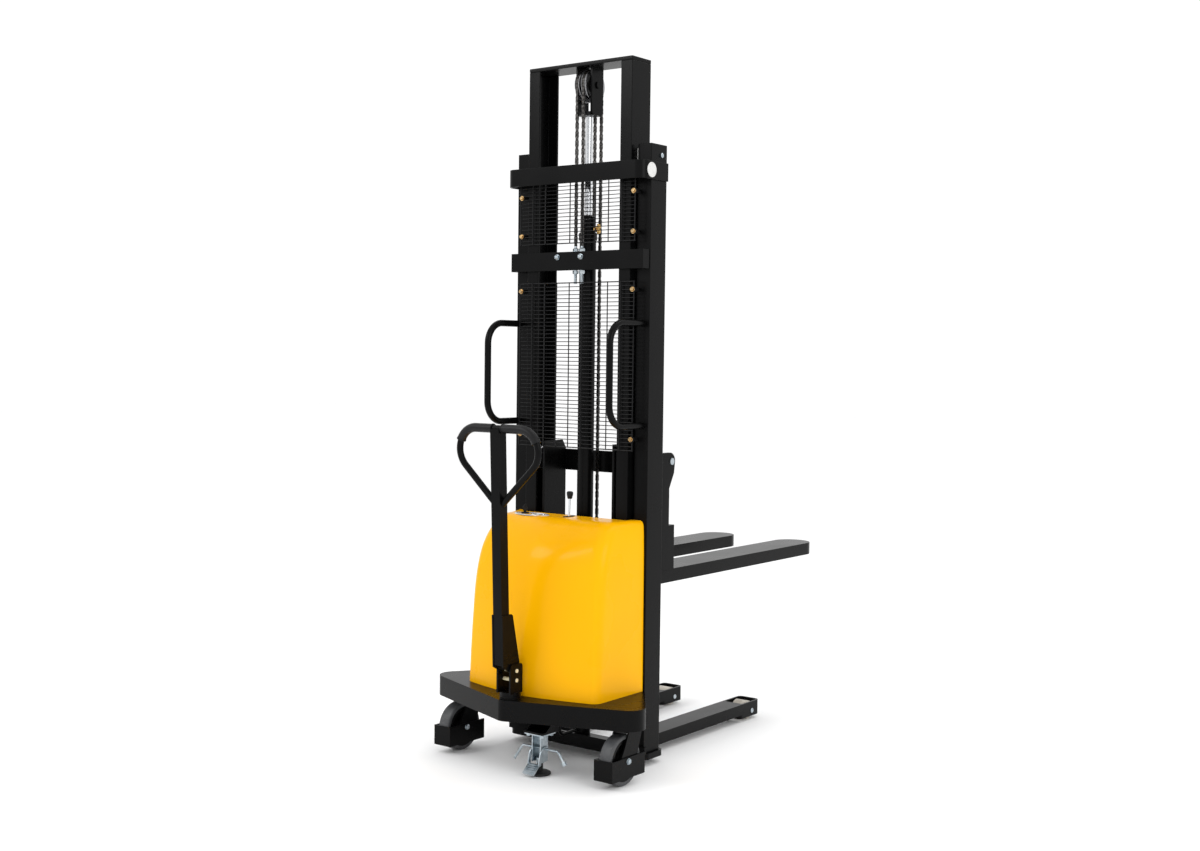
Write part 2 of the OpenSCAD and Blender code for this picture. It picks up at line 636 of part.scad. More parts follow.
module fork(s) color(BLACK) mirror([s < 0 ? 1 : 0, 0, 0]) {
    x = fork_x;
    back = side_front;
    difference() {
        translate([0, 0, fork_bottom]) linear_extrude(fork_t) {
            translate([x - fork_w / 2, back]) square([fork_w, fork_tip - fork_tip_r - back]);
            translate([x, fork_tip - fork_tip_r]) circle(fork_tip_r);
        }
        box([x - fork_w / 2 + fork_wall, x + fork_w / 2 - fork_wall], [back - 1, fork_tip - fork_tip_r - 30],
            [fork_bottom - 1, fork_top - fork_wall]);
        box([x - fork_w, x + fork_w], [back - 1, shank_front], [fork_top - heel_step, fork_top + 1]);
        translate([0, fork_tip, fork_top - 18]) rotate([35, 0, 0])
            box([x - fork_w, x + fork_w], [-120, 60], [-80, 0]);
    }
}
module carriage_pins() color(ZINC) {
    for (s = [-1, 1]) {
        x = s * (forks_over / 2 - 6);
        across([x - 9, x + 9], shank_front - 22, lug_z, 26);
        up(s * chain_x, chain_front, [anchor_z - 30, anchor_z + 62], 12);
        for (z = [anchor_z - 12, anchor_z + 22]) translate([s * chain_x, chain_front, z]) difference() {
            hex_nut(20, 12);
            translate([0, 0, -1]) cylinder(d = 12, h = 14);
        }
    }
}
module carriage_rollers(z) color("#b8bcc0") both() difference() {
    pin_y = inner_front / 2 - inner_out / 2;
    across([inner_inside + 2, inner_w / 2 - mast_wall - 2], pin_y, z, run_roller_d);
    across([0, mast_w], pin_y, z, 30 + 2 * run);
}

// ---- tiller and steering ----
module tiller_base() color(BLACK) {
    up(0, -tiller_y, [plate_top + 6.5, plate_top + 24], 76);
    up(0, -tiller_y, [arm_z, plate_top + 24], king_d);
    difference() {
        union() {
            box([-15, 15], [-tiller_y, -tiller_y + steer_arm], [arm_z, arm_z + 12]);
            up(0, -tiller_y + steer_arm, [steer_z - 6, arm_z + 12], 18);
        }
        up(0, -tiller_y + steer_arm, [steer_z - 7, arm_z - 0.3], 50);
    }
    up(0, -tiller_y + steer_arm, [steer_z - 4, arm_z], 12);
    for (s = [-1, 1]) side_plate(s * 29.5 - 3.5, 7) difference() {
        union() {
            translate([pivot_y - 33, plate_top + 20]) square([66, tiller_z + 12 - plate_top - 20]);
            translate([pivot_y - 20, plate_top + 30]) square([40, tiller_z + 25 - plate_top - 30]);
            for (t = [-1, 1]) translate([pivot_y + t * 20, tiller_z + 12]) circle(13);
        }
        for (z = [0, -34]) translate([pivot_y, tiller_z + z]) circle(d = 14 + 2 * run);
    }
    for (s = [-1, 1]) box([s * 29.5 - 3.5, s * 29.5 + 3.5], [pivot_y - 33, -tiller_y + 26],
        [plate_top + 20, plate_top + 30]);
}
module tiller_pins() color("#e9e2c6") for (z = [0, -34])
    across([-36, 36], pivot_y, tiller_z + z, 14);
// Children are drawn upright from the tiller's pivot, then leaned back with it
module tiller_frame() { translate([0, pivot_y, tiller_z]) rotate([tiller_lean, 0, 0]) children(); }
module tiller_handle() color(BLACK) tiller_frame() {
    bend = 78;
    turn = 47;
    flat = loop_half - bend;
    arm = (flat + bend * cos(turn) - 14) / sin(turn);
    box([-post_w / 2, post_w / 2], [-post_back - post_w / 2, -post_back + post_w / 2], [26, tiller_l]);
    for (s = [0, 1]) mirror([s, 0, 0]) {
        side_plate(post_w / 2 - 1, 6) difference() {
            union() {
                polygon([[-post_back - post_w / 2 - 2, 20], [-20, -6], [0, -20], [24, 12], [26, 26], [-6, 200],
                    [-14, 206], [-post_back - post_w / 2 - 2, 206]]);
                circle(21);
            }
            circle(d = 14 + 2 * run);
        }
        translate([0, -post_back, tiller_l]) across([0, flat], 0, 0, loop_d);
        translate([flat, -post_back, tiller_l - bend]) rotate([90, 0, 0]) rotate([0, 0, -turn])
            rotate_extrude(angle = 90 + turn) translate([bend, 0]) circle(d = loop_d);
        translate([flat + bend * cos(turn), -post_back, tiller_l - bend - bend * sin(turn)])
            rotate([0, -180 + turn, 0]) cylinder(d = loop_d, h = arm);
    }
}
module tiller_grip() color("#2a2a2c") tiller_frame() for (s = [0, 1]) mirror([s, 0, 0])
    translate([0, -post_back, tiller_l]) {
        bend = 78;
        flat = loop_half - bend;
        difference() {
            across([post_w / 2 + 1, flat - 0.3], 0, 0, grip_d);
            across([post_w / 2, flat], 0, 0, loop_d + 2 * run);
        }
        translate([flat, 0, -bend]) rotate([90, 0, 0]) rotate([0, 0, 24]) rotate_extrude(angle = 66)
            translate([bend, 0]) difference() {
                circle(d = grip_d);
                circle(d = loop_d + 2 * run);
            }
    }
// Steering rod, cranked at its ends so that it passes the swivel pins at every angle
module tie_bar() color(BLACK) {
    mid = [0, -tiller_y + steer_arm];
    end = [wheel_x, king_y + steer_arm];
    crank = end + 56 * [cos(143), sin(143)];
    knee = mid + 0.66 * (end - mid);
    translate([0, 0, steer_z]) linear_extrude(10) difference() {
        union() {
            for (s = [0, 1]) mirror([s, 0]) {
                flat_link(mid, knee);
                flat_link(knee, crank);
                flat_link(crank, end);
            }
            translate(mid) circle(14);
        }
        translate(mid) circle(d = 12 + 2 * run);
        for (s = [-1, 1]) translate([s * end[0], end[1]]) circle(d = 12 + 2 * run);
    }
}
module flat_link(a, b) {
    d = b - a;
    translate(a) rotate(atan2(d[1], d[0])) translate([0, -10]) square([norm(d), 20]);
    translate(b) circle(10.5);
}

// ---- rear wheels ----
module wheel_fork(s) color(BLACK) translate([s * wheel_x, -wheel_y, 0]) {
    cheek = wheel_w / 2 + 3;
    top = wheel_d + 14;
    up(0, wheel_trail, [top - 2, plate_top - plate_t - 1], king_d);
    up(0, wheel_trail, [top + 6, steer_z - 3], 44);
    up(0, wheel_trail, [arm_z, plate_top - 26.5], 44);
    box([-15, 15], [wheel_trail, wheel_trail + steer_arm], [arm_z, arm_z + 12]);
    up(0, wheel_trail + steer_arm, [steer_z - 4, arm_z + 1], 12);
    box([-cheek - 6, cheek + 6], [8, 86], [top - 8, top]);
    for (t = [0, 1]) mirror([t, 0, 0]) {
        side_plate(cheek, 6) polygon([[-34, guard_z], [52, guard_z], [60, guard_z + guard_h], [84, top - 20],
            [84, top], [12, top], [-16, guard_z + guard_h + 30], [-34, guard_z + guard_h]]);
        box([cheek + 6, guard_w / 2], [-95, 98], [guard_z, guard_z + guard_h]);
        across([wheel_w / 2 + 1, cheek], 0, wheel_d / 2, 30);
        box([0, guard_w / 2], [-95, -91], [guard_z, guard_z + guard_h]);
    }
    across([-cheek, cheek], 0, wheel_d / 2, 20);
}
module rear_tyre(s) color("#55575a") difference() {
    across([s * wheel_x - wheel_w / 2, s * wheel_x + wheel_w / 2], -wheel_y, wheel_d / 2, wheel_d);
    across([s * wheel_x - wheel_w, s * wheel_x + wheel_w], -wheel_y, wheel_d / 2, wheel_d - 30);
}
module rear_hub(s) color(BLACK) translate([s * wheel_x, -wheel_y, wheel_d / 2]) rotate([0, 90, 0]) {
    difference() {
        translate([0, 0, -wheel_w / 2 + 1]) cylinder(d = wheel_d - 30 - 2 * run, h = wheel_w - 2);
        for (t = [0, 1]) mirror([0, 0, t]) translate([0, 0, 9]) difference() {
            cylinder(d = wheel_d - 52, h = wheel_w);
            translate([0, 0, -1]) cylinder(d = 46, h = wheel_w + 2);
        }
        translate([0, 0, -wheel_w]) cylinder(d = 20 + 2 * run, h = 2 * wheel_w);
    }
}
module load_roller(s) color("#c9c3b4") difference() {
    across([s * leg_x - roller_w / 2, s * leg_x + roller_w / 2], roller_y, roller_d / 2, roller_d);
    across([s * leg_x - roller_w, s * leg_x + roller_w], roller_y, roller_d / 2, 20 + 2 * run);
}

place() chassis_plate();
place() mast_base();
place() mast_column(-1);  // mast_column_left
place() mast_column(1);  // mast_column_right
place() upper_strap();
place() mid_beam();
place() mesh_guard(upper_mesh_z, upper_mesh_h);  // mesh_guard_upper
place() mesh_guard(lower_mesh_z, lower_mesh_h);  // mesh_guard_lower
place() strap_caps();
place() grab_bars();
place() lift_cylinder();
place() hydraulic_fitting();
place() hydraulic_pipe();
place() support_leg(-1);  // support_leg_left
place() support_leg(1);  // support_leg_right
place() frame_bolts();
place() mast_pads();
place() cover();
place() partition_plate();
place() battery();
place() power_pack();
place() valve_block();
place() key_switch();
place() battery_gauge();
place() floor_lock_body();
place() floor_lock_pedal();
place() floor_lock_foot();
place() control_lever();
place() control_knob();
place() key();
place() inner_column(-1);  // inner_column_left
place() inner_column(1);  // inner_column_right
place() inner_cross_members();
place() crosshead();
place() piston_rod();
place() chain_sheaves();
place() chain_rear();
place() chain_front();
place() chain_wrap();
place() mast_rollers();
place() carriage_frame();
place() fork(-1);  // fork_left
place() fork(1);  // fork_right
place() carriage_pins();
place() carriage_rollers(roller_up_z);  // carriage_rollers_upper
place() carriage_rollers(roller_low_z);  // carriage_rollers_lower
place() tiller_base();
place() tiller_pins();
place() tiller_handle();
place() tiller_grip();
place() tie_bar();
place() wheel_fork(-1);  // wheel_fork_left
place() wheel_fork(1);  // wheel_fork_right
place() rear_tyre(-1);  // rear_tyre_left
place() rear_tyre(1);  // rear_tyre_right
place() rear_hub(-1);  // rear_hub_left
place() rear_hub(1);  // rear_hub_right
place() load_roller(-1);  // load_roller_left
place() load_roller(1);  // load_roller_right
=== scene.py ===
import json
import math

import bmesh
import bpy
from mathutils import Matrix, Vector


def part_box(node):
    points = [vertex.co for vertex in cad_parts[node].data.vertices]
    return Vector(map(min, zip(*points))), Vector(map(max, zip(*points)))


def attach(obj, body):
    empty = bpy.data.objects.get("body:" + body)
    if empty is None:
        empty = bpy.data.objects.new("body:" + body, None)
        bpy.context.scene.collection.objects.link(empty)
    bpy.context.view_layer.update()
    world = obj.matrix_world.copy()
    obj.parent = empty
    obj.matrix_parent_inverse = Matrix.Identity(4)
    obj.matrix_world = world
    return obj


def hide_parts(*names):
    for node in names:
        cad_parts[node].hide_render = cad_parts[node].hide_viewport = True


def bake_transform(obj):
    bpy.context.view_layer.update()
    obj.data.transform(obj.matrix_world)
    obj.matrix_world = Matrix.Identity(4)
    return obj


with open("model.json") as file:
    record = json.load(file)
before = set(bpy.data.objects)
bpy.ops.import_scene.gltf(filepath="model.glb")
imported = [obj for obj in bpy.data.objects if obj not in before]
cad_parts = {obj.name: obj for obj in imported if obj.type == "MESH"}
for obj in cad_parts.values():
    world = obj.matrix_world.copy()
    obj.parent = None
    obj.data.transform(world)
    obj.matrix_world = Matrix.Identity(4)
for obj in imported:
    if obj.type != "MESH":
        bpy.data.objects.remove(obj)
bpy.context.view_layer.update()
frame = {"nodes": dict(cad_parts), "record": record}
nodes = frame["nodes"]
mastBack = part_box("mast_column_right")[0].y  # the mast's rear face, the zero of the lengths below
mm = 0.001
print("frame loaded")


def at(x, y, z):
    # a place given in millimetres from the mast's rear face and the floor
    return Vector((x * mm, mastBack + y * mm, z * mm))


# ---------- finishes ----------
def finish(name, color, shade, rough, roughSpread=0.08, metal=0.0, coat=0.0, patchSize=6.0, gleam=0.5,
           grainSize=350.0, grainDepth=0.0002, grainStrength=0.25, stretch=(1, 1, 1), specks=None):
    # patches of two close colours, a roughness that drifts with them, and a fine grain in the bump
    mat = bpy.data.materials.new(name)
    mat.use_nodes = True
    tree = mat.node_tree
    shader = tree.nodes["Principled BSDF"]
    shader.inputs["Metallic"].default_value = metal
    shader.inputs["Coat Weight"].default_value = coat
    shader.inputs["Coat Roughness"].default_value = 0.08
    shader.inputs["Specular IOR Level"].default_value = gleam
    where = tree.nodes.new("ShaderNodeTexCoord")
    mapping = tree.nodes.new("ShaderNodeMapping")
    mapping.inputs["Scale"].default_value = stretch
    tree.links.new(where.outputs["Object"], mapping.inputs["Vector"])
    patches = tree.nodes.new("ShaderNodeTexNoise")
    patches.inputs["Scale"].default_value = patchSize
    patches.inputs["Detail"].default_value = 6.0
    grain = tree.nodes.new("ShaderNodeTexNoise")
    grain.inputs["Scale"].default_value = grainSize
    grain.inputs["Detail"].default_value = 3.0
    for tex in (patches, grain):
        tree.links.new(mapping.outputs["Vector"], tex.inputs["Vector"])
    ramp = tree.nodes.new("ShaderNodeValToRGB")
    ramp.color_ramp.elements[0].position = 0.35
    ramp.color_ramp.elements[0].color = (*shade, 1)
    ramp.color_ramp.elements[1].position = 0.65
    ramp.color_ramp.elements[1].color = (*color, 1)
    tree.links.new(patches.outputs["Fac"], ramp.inputs["Fac"])
    paint = ramp.outputs["Color"]
    if specks:
        dust = tree.nodes.new("ShaderNodeTexNoise")
        dust.inputs["Scale"].default_value = specks[1]
        dust.inputs["Detail"].default_value = 8.0
        tree.links.new(mapping.outputs["Vector"], dust.inputs["Vector"])
        dustRamp = tree.nodes.new("ShaderNodeValToRGB")
        dustRamp.color_ramp.elements[0].position = 0.62
        dustRamp.color_ramp.elements[0].color = (0, 0, 0, 1)
        dustRamp.color_ramp.elements[1].position = 0.74
        dustRamp.color_ramp.elements[1].color = (0.5, 0.5, 0.5, 1)
        tree.links.new(dust.outputs["Fac"], dustRamp.inputs["Fac"])
        mix = tree.nodes.new("ShaderNodeMix")
        mix.data_type = "RGBA"
        tree.links.new(dustRamp.outputs["Color"], mix.inputs["Factor"])
        tree.links.new(paint, mix.inputs["A"])
        mix.inputs["B"].default_value = (*specks[0], 1)
        paint = mix.outputs["Result"]
    tree.links.new(paint, shader.inputs["Base Color"])
    gloss = tree.nodes.new("ShaderNodeMapRange")
    gloss.inputs["To Min"].default_value = rough - roughSpread
    gloss.inputs["To Max"].default_value = rough + roughSpread
    tree.links.new(patches.outputs["Fac"], gloss.inputs["Value"])
    tree.links.new(gloss.outputs["Result"], shader.inputs["Roughness"])
    bump = tree.nodes.new("ShaderNodeBump")
    bump.inputs["Strength"].default_value = grainStrength
    bump.inputs["Distance"].default_value = grainDepth
    tree.links.new(grain.outputs["Fac"], bump.inputs["Height"])
    tree.links.new(bump.outputs["Normal"], shader.inputs["Normal"])
    return mat


finishes = {
    "black_paint": finish("blackPowderCoat", (0.003, 0.003, 0.0031), (0.0022, 0.0022, 0.0023), 0.28, 0.05,
                          gleam=0.085, grainSize=420, grainDepth=0.00025, grainStrength=0.2,
                          specks=((0.012, 0.012, 0.012), 260)),
    "yellow_paint": finish("yellowGlossPaint", (0.93, 0.445, 0.0), (0.9, 0.425, 0.0), 0.28, 0.04, coat=0.08,
                           gleam=0.06, patchSize=3, grainSize=180, grainDepth=0.0003, grainStrength=0.12),
    "zinc_steel": finish("zincPlate", (0.52, 0.57, 0.60), (0.36, 0.42, 0.46), 0.3, 0.1, metal=1.0,
                         patchSize=40, grainSize=600),
    "chrome": finish("polishedChrome", (0.80, 0.82, 0.84), (0.74, 0.76, 0.79), 0.09, 0.04, metal=1.0,
                     patchSize=12, grainSize=900, grainDepth=0.0001, grainStrength=0.06),
    "brass": finish("turnedBrass", (0.72, 0.46, 0.16), (0.55, 0.33, 0.10), 0.27, 0.08, metal=1.0, patchSize=50),
    "guard_wire": finish("blackWire", (0.008, 0.008, 0.0085), (0.005, 0.005, 0.0055), 0.38, 0.08, gleam=0.15,
                         patchSize=30),
    "roller_steel": finish("rollerSteel", (0.42, 0.42, 0.43), (0.25, 0.25, 0.26), 0.3, 0.1, metal=1.0,
                           patchSize=60, stretch=(1, 6, 6)),
    "grey_tread": finish("greyTread", (0.075, 0.077, 0.08), (0.045, 0.047, 0.05), 0.42, 0.1, gleam=0.3,
                         patchSize=25, grainSize=500, grainDepth=0.0004, grainStrength=0.4,
                         specks=((0.16, 0.15, 0.14), 90)),
    "black_rubber": finish("blackRubber", (0.012, 0.012, 0.012), (0.007, 0.007, 0.007), 0.6, 0.1, gleam=0.3,
                           patchSize=30, grainSize=500, grainDepth=0.0005, grainStrength=0.5),
    "black_plastic": finish("blackGrain", (0.008, 0.008, 0.0085), (0.005, 0.005, 0.0055), 0.42, 0.06, gleam=0.2,
                            patchSize=20, grainSize=900, grainDepth=0.0004, grainStrength=0.5),
    "cream_plastic": finish("creamPlastic", (0.80, 0.73, 0.50), (0.70, 0.62, 0.40), 0.35, 0.06, patchSize=60),
    "white_plastic": finish("whitePlastic", (0.68, 0.68, 0.67), (0.60, 0.60, 0.58), 0.35, 0.05, patchSize=40),
    "load_roller": finish("nylonRoller", (0.56, 0.52, 0.45), (0.42, 0.38, 0.32), 0.42, 0.08, patchSize=40,
                          specks=((0.2, 0.18, 0.15), 70)),
    "chain_steel": finish("oiledSteel", (0.10, 0.096, 0.092), (0.04, 0.038, 0.036), 0.34, 0.1, metal=0.9,
                          patchSize=90, grainSize=700),
    "battery_case": finish("batteryCase", (0.03, 0.03, 0.035), (0.02, 0.02, 0.023), 0.5, 0.08, patchSize=14),
    "pump_grey": finish("pumpEnamel", (0.05, 0.055, 0.062), (0.035, 0.038, 0.043), 0.38, 0.07, patchSize=14),
}
yellowZinc = finish("yellowZinc", (0.62, 0.42, 0.19), (0.40, 0.29, 0.16), 0.28, 0.1, metal=1.0, patchSize=90)
clearRim = finish("clearRim", (0.52, 0.53, 0.53), (0.42, 0.43, 0.43), 0.22, 0.05, gleam=0.6, patchSize=60)
dialFace = finish("dialFace", (0.55, 0.56, 0.56), (0.50, 0.51, 0.51), 0.3, 0.03, patchSize=60)
print("finishes ready")

slotOf = {entry["node"]: entry["material_slot"] for entry in frame["record"]["subparts"]}
for nodeName, node in nodes.items():
    node.data.materials.clear()
    node.data.materials.append(finishes[slotOf[nodeName]])


# ---------- helpers ----------
def place(bm, name, body, slot, replaced=(), mat=None, sharp=38, weighted=False):
    # a finished bmesh becomes a piece that rides on a body
    mesh = bpy.data.meshes.new(name)
    bm.to_mesh(mesh)
    bm.free()
    mesh.materials.append(mat or finishes[slot])
    mesh.polygons.foreach_set("use_smooth", [True] * len(mesh.polygons))
    mesh.set_sharp_from_angle(angle=math.radians(sharp))
    piece = bpy.data.objects.new(name, mesh)
    bpy.context.scene.collection.objects.link(piece)
    if weighted:
        facing = piece.modifiers.new("facing", "WEIGHTED_NORMAL")
        facing.keep_sharp = True
    if body:
        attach(piece, body)
    if replaced:
        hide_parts(*replaced)
    return piece


def tidyShell(bm, flip=True):
    bmesh.ops.remove_doubles(bm, verts=bm.verts, dist=1e-5)
    if flip:
        bmesh.ops.recalc_face_normals(bm, faces=bm.faces)


def easeEdges(bm, width, segments=2, angle=35):
    edges = [e for e in bm.edges if len(e.link_faces) == 2 and e.calc_face_angle(0) > math.radians(angle)]
    bmesh.ops.bevel(bm, geom=edges, offset=width, segments=segments, profile=0.5, affect="EDGES",
                    clamp_overlap=True, material=-1, loop_slide=True)


def easedNode(nodeName, body, width=0.0015, segments=2):
    # the same solid with its plate edges rounded over
    bm = bmesh.new()
    bm.from_mesh(nodes[nodeName].data)
    bmesh.ops.remove_doubles(bm, verts=bm.verts, dist=1e-6)
    bmesh.ops.dissolve_limit(bm, angle_limit=math.radians(0.6), verts=bm.verts, edges=bm.edges)
    easeEdges(bm, width, segments)
    words = nodeName.split("_")
    name = words[0] + "".join(w.capitalize() for w in words[1:])
    return place(bm, name, body, slotOf[nodeName], (nodeName,), sharp=50, weighted=True)


def turned(bm, profile, centre, steps=64, axis="X", sweep=360):
    # profile is (along the axis, radius) pairs in millimetres, turned about an axis through centre
    along = {"X": Vector((1, 0, 0)), "Y": Vector((0, 1, 0)), "Z": Vector((0, 0, 1))}[axis]
    out = {"X": Vector((0, 0, 1)), "Y": Vector((0, 0, 1)), "Z": Vector((1, 0, 0))}[axis]
    verts = [bm.verts.new(centre + along * a * mm + out * r * mm) for a, r in profile]
    edges = [bm.edges.new((v, w)) for v, w in zip(verts, verts[1:])]
    bmesh.ops.spin(bm, geom=verts + edges, cent=centre, axis=along, angle=math.radians(sweep), steps=steps,
                   use_merge=sweep == 360, use_normal_flip=False, use_duplicate=False)


def rod(bm, start, end, radius, sides=12):
    # a plain bar between two places, in metres
    way = end - start
    turn = way.to_track_quat("Z", "Y").to_matrix().to_4x4()
    bmesh.ops.create_cone(bm, cap_ends=True, segments=sides, radius1=radius, radius2=radius, depth=way.length,
                          matrix=Matrix.Translation((start + end) / 2) @ turn)


def block(bm, low, high, ease=0.0):
    made = bmesh.ops.create_cube(bm, size=1)["verts"]
    size = high - low
    bmesh.ops.scale(bm, vec=size, verts=made)
    bmesh.ops.translate(bm, vec=(low + high) / 2, verts=made)
    if ease:
        edges = list({e for v in made for e in v.link_edges})
        bmesh.ops.bevel(bm, geom=edges, offset=ease, segments=2, profile=0.5, affect="EDGES", material=-1)


def hexBolt(bm, seat, way, across, height, washer=0.0, domed=False):
    # a hex head with a chamfered crown, on a washer
    turn = Vector(way).to_track_quat("Z", "Y").to_matrix().to_4x4()
    base = Matrix.Translation(seat) @ turn
    lift = 0.0
    if washer:
        bmesh.ops.create_cone(bm, cap_ends=True, segments=28, radius1=washer * mm, radius2=washer * 0.96 * mm,
                              depth=1.8 * mm, matrix=base @ Matrix.Translation((0, 0, 0.9 * mm)))
        lift = 1.8
    radius = across / math.sqrt(3) * mm
    bmesh.ops.create_cone(bm, cap_ends=True, segments=6, radius1=radius, radius2=radius,
                          depth=height * 0.8 * mm,
                          matrix=base @ Matrix.Translation((0, 0, (lift + height * 0.4) * mm)))
    bmesh.ops.create_cone(bm, cap_ends=True, segments=6, radius1=radius, radius2=radius * 0.84,
                          depth=height * 0.2 * mm,
                          matrix=base @ Matrix.Translation((0, 0, (lift + height * 0.9) * mm)))
    if domed:
        bmesh.ops.create_uvsphere(bm, u_segments=16, v_segments=8, radius=radius * 0.7,
                                  matrix=base @ Matrix.Translation((0, 0, (lift + height * 0.7) * mm)))


def sweepTube(points, radius, resolution=10):
    # a round tube along a smooth path, as a mesh
    curve = bpy.data.curves.new("path", "CURVE")
    curve.dimensions = "3D"
    curve.bevel_depth = radius
    curve.bevel_resolution = resolution
    curve.use_fill_caps = True
    spline = curve.splines.new("POLY")
    spline.points.add(len(points) - 1)
    for p, co in zip(spline.points, points):
        p.co = (*co, 1)
    holder = bpy.data.objects.new("path", curve)
    bpy.context.scene.collection.objects.link(holder)
    bpy.context.view_layer.update()
    mesh = bpy.data.meshes.new_from_object(holder.evaluated_get(bpy.context.evaluated_depsgraph_get()))
    bpy.data.objects.remove(holder)
    return mesh


# ---------- frame, mast, forks: the exact solids with rounded edges ----------
easedWidths = {
    "chassis_plate": ("frame", 0.003), "mast_base": ("frame", 0.002), "mast_column_left": ("frame", 0.0022),
    "mast_column_right": ("frame", 0.0022), "mid_beam": ("frame", 0.0015),
    "support_leg_left": ("frame", 0.002), "support_leg_right": ("frame", 0.002),
    "upper_strap": ("frame", 0.0015), "floor_lock_body": ("frame", 0.0008), "valve_block": ("frame", 0.001),
    "power_pack": ("frame", 0.003), "battery": ("frame", 0.003), "partition_plate": ("frame", 0.0005),
    "lift_cylinder": ("frame", 0.0012), "inner_column_left": ("inner_mast", 0.0022),
    "inner_column_right": ("inner_mast", 0.0022), "inner_cross_members": ("inner_mast", 0.0018),
    "crosshead": ("inner_mast", 0.0015), "carriage_frame": ("carriage", 0.0018),
    "fork_left": ("carriage", 0.0025), "fork_right": ("carriage", 0.0025), "carriage_pins": ("carriage", 0.001),
    "tiller_base": ("swivel", 0.0012), "tiller_pins": ("swivel", 0.0008), "tiller_handle": ("tiller", 0.0018),
    "tie_bar": ("tie_bar", 0.001), "wheel_fork_left": ("wheel_fork_left", 0.0012),
    "wheel_fork_right": ("wheel_fork_right", 0.0012), "floor_lock_pedal": ("floor_lock_pedal", 0.0006),
}
for nodeName, (body, width) in easedWidths.items():
    easedNode(nodeName, body, width)
print("plates and columns eased")

# ---------- cover ----------
cover = {
    "low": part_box("cover")[0], "high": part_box("cover")[1], "wall": 4.0, "around": 96, "up": 44, "top": 10,
    "back": -285, "bow": 56, "corner": 79,  # rear edge, how far the rear bows out, degrees of the corner's arc
    "sides": 0.55, "rear": 0.3,  # share of the half outline where the side begins and where the rear ends
    # height share, front narrowing, rear narrowing, rear lean, bulge share, corner radius
    "levels": [(0, 0, 0, 0, 1, 34), (0.2, 0.5, 1, 5, 1.0, 35), (0.40, 1, 3, 12, 0.96, 36),
               (0.62, 1.5, 6, 20, 0.85, 42), (0.78, 2, 11, 36, 0.7, 50), (0.88, 3, 18, 60, 0.5, 58),
               (0.95, 4.5, 28, 93, 0.3, 62), (0.985, 8, 38, 122, 0.15, 60), (1, 20, 56, 152, 0.02, 46)],
    "notch": 249, "notchBack": -37,
}


def coverLevel(t):
    # smooth passage through the listed levels
    levels = cover["levels"]
    i = max(k for k in range(len(levels) - 1) if levels[k][0] <= t or k == 0)
    a, b = levels[i], levels[i + 1]
    before = levels[i - 1] if i else a
    after = levels[i + 2] if i + 2 < len(levels) else b
    s = min(max((t - a[0]) / (b[0] - a[0]), 0), 1)
    h = b[0] - a[0]
    values = []
    for k in range(1, 6):
        ma = (b[k] - before[k]) / max(b[0] - before[0], 1e-6) * h if i else (b[k] - a[k])
        mb = (after[k] - a[k]) / max(after[0] - a[0], 1e-6) * h if after is not b else (b[k] - a[k]) * 2.2
        values.append((2 * s ** 3 - 3 * s ** 2 + 1) * a[k] + (s ** 3 - 2 * s ** 2 + s) * ma
                      + (3 * s ** 2 - 2 * s ** 3) * b[k] + (s ** 3 - s ** 2) * mb)
    return values


def coverOutline(u, t):
    # u runs from the left front edge round the back to the right front edge
    frontIn, rearIn, lean, bulge, radius = coverLevel(t)
    half = cover["high"].x / mm
    back = cover["back"] + lean
    front = (cover["high"].y - mastBack) / mm
    side = abs(2 * u - 1)
    sign = 1 if u > 0.5 else -1
    xf, xr = half - frontIn, half - rearIn
    sides, rear, corner = cover["sides"], cover["rear"], cover["corner"]
    if side > sides:
        s = (side - sides) / (1 - sides)
        x = xr + (xf - xr) * s
        y = (back + radius) + (front - back - radius) * s
    elif side > rear:
        a = math.radians((sides - side) / (sides - rear) * corner)
        x = xr - radius + radius * math.cos(a)
        y = back + radius - radius * math.sin(a)
    else:
        s = side / rear
        cornerX = xr - radius + radius * math.cos(math.radians(corner))
        cornerY = back + radius - radius * math.sin(math.radians(corner))
        apex = back - cover["bow"] * bulge
        x = cornerX * s
        y = apex + (cornerY - apex) * (s ** 1.25 * 0.75 + s * s * 0.25)
    return x * sign, y


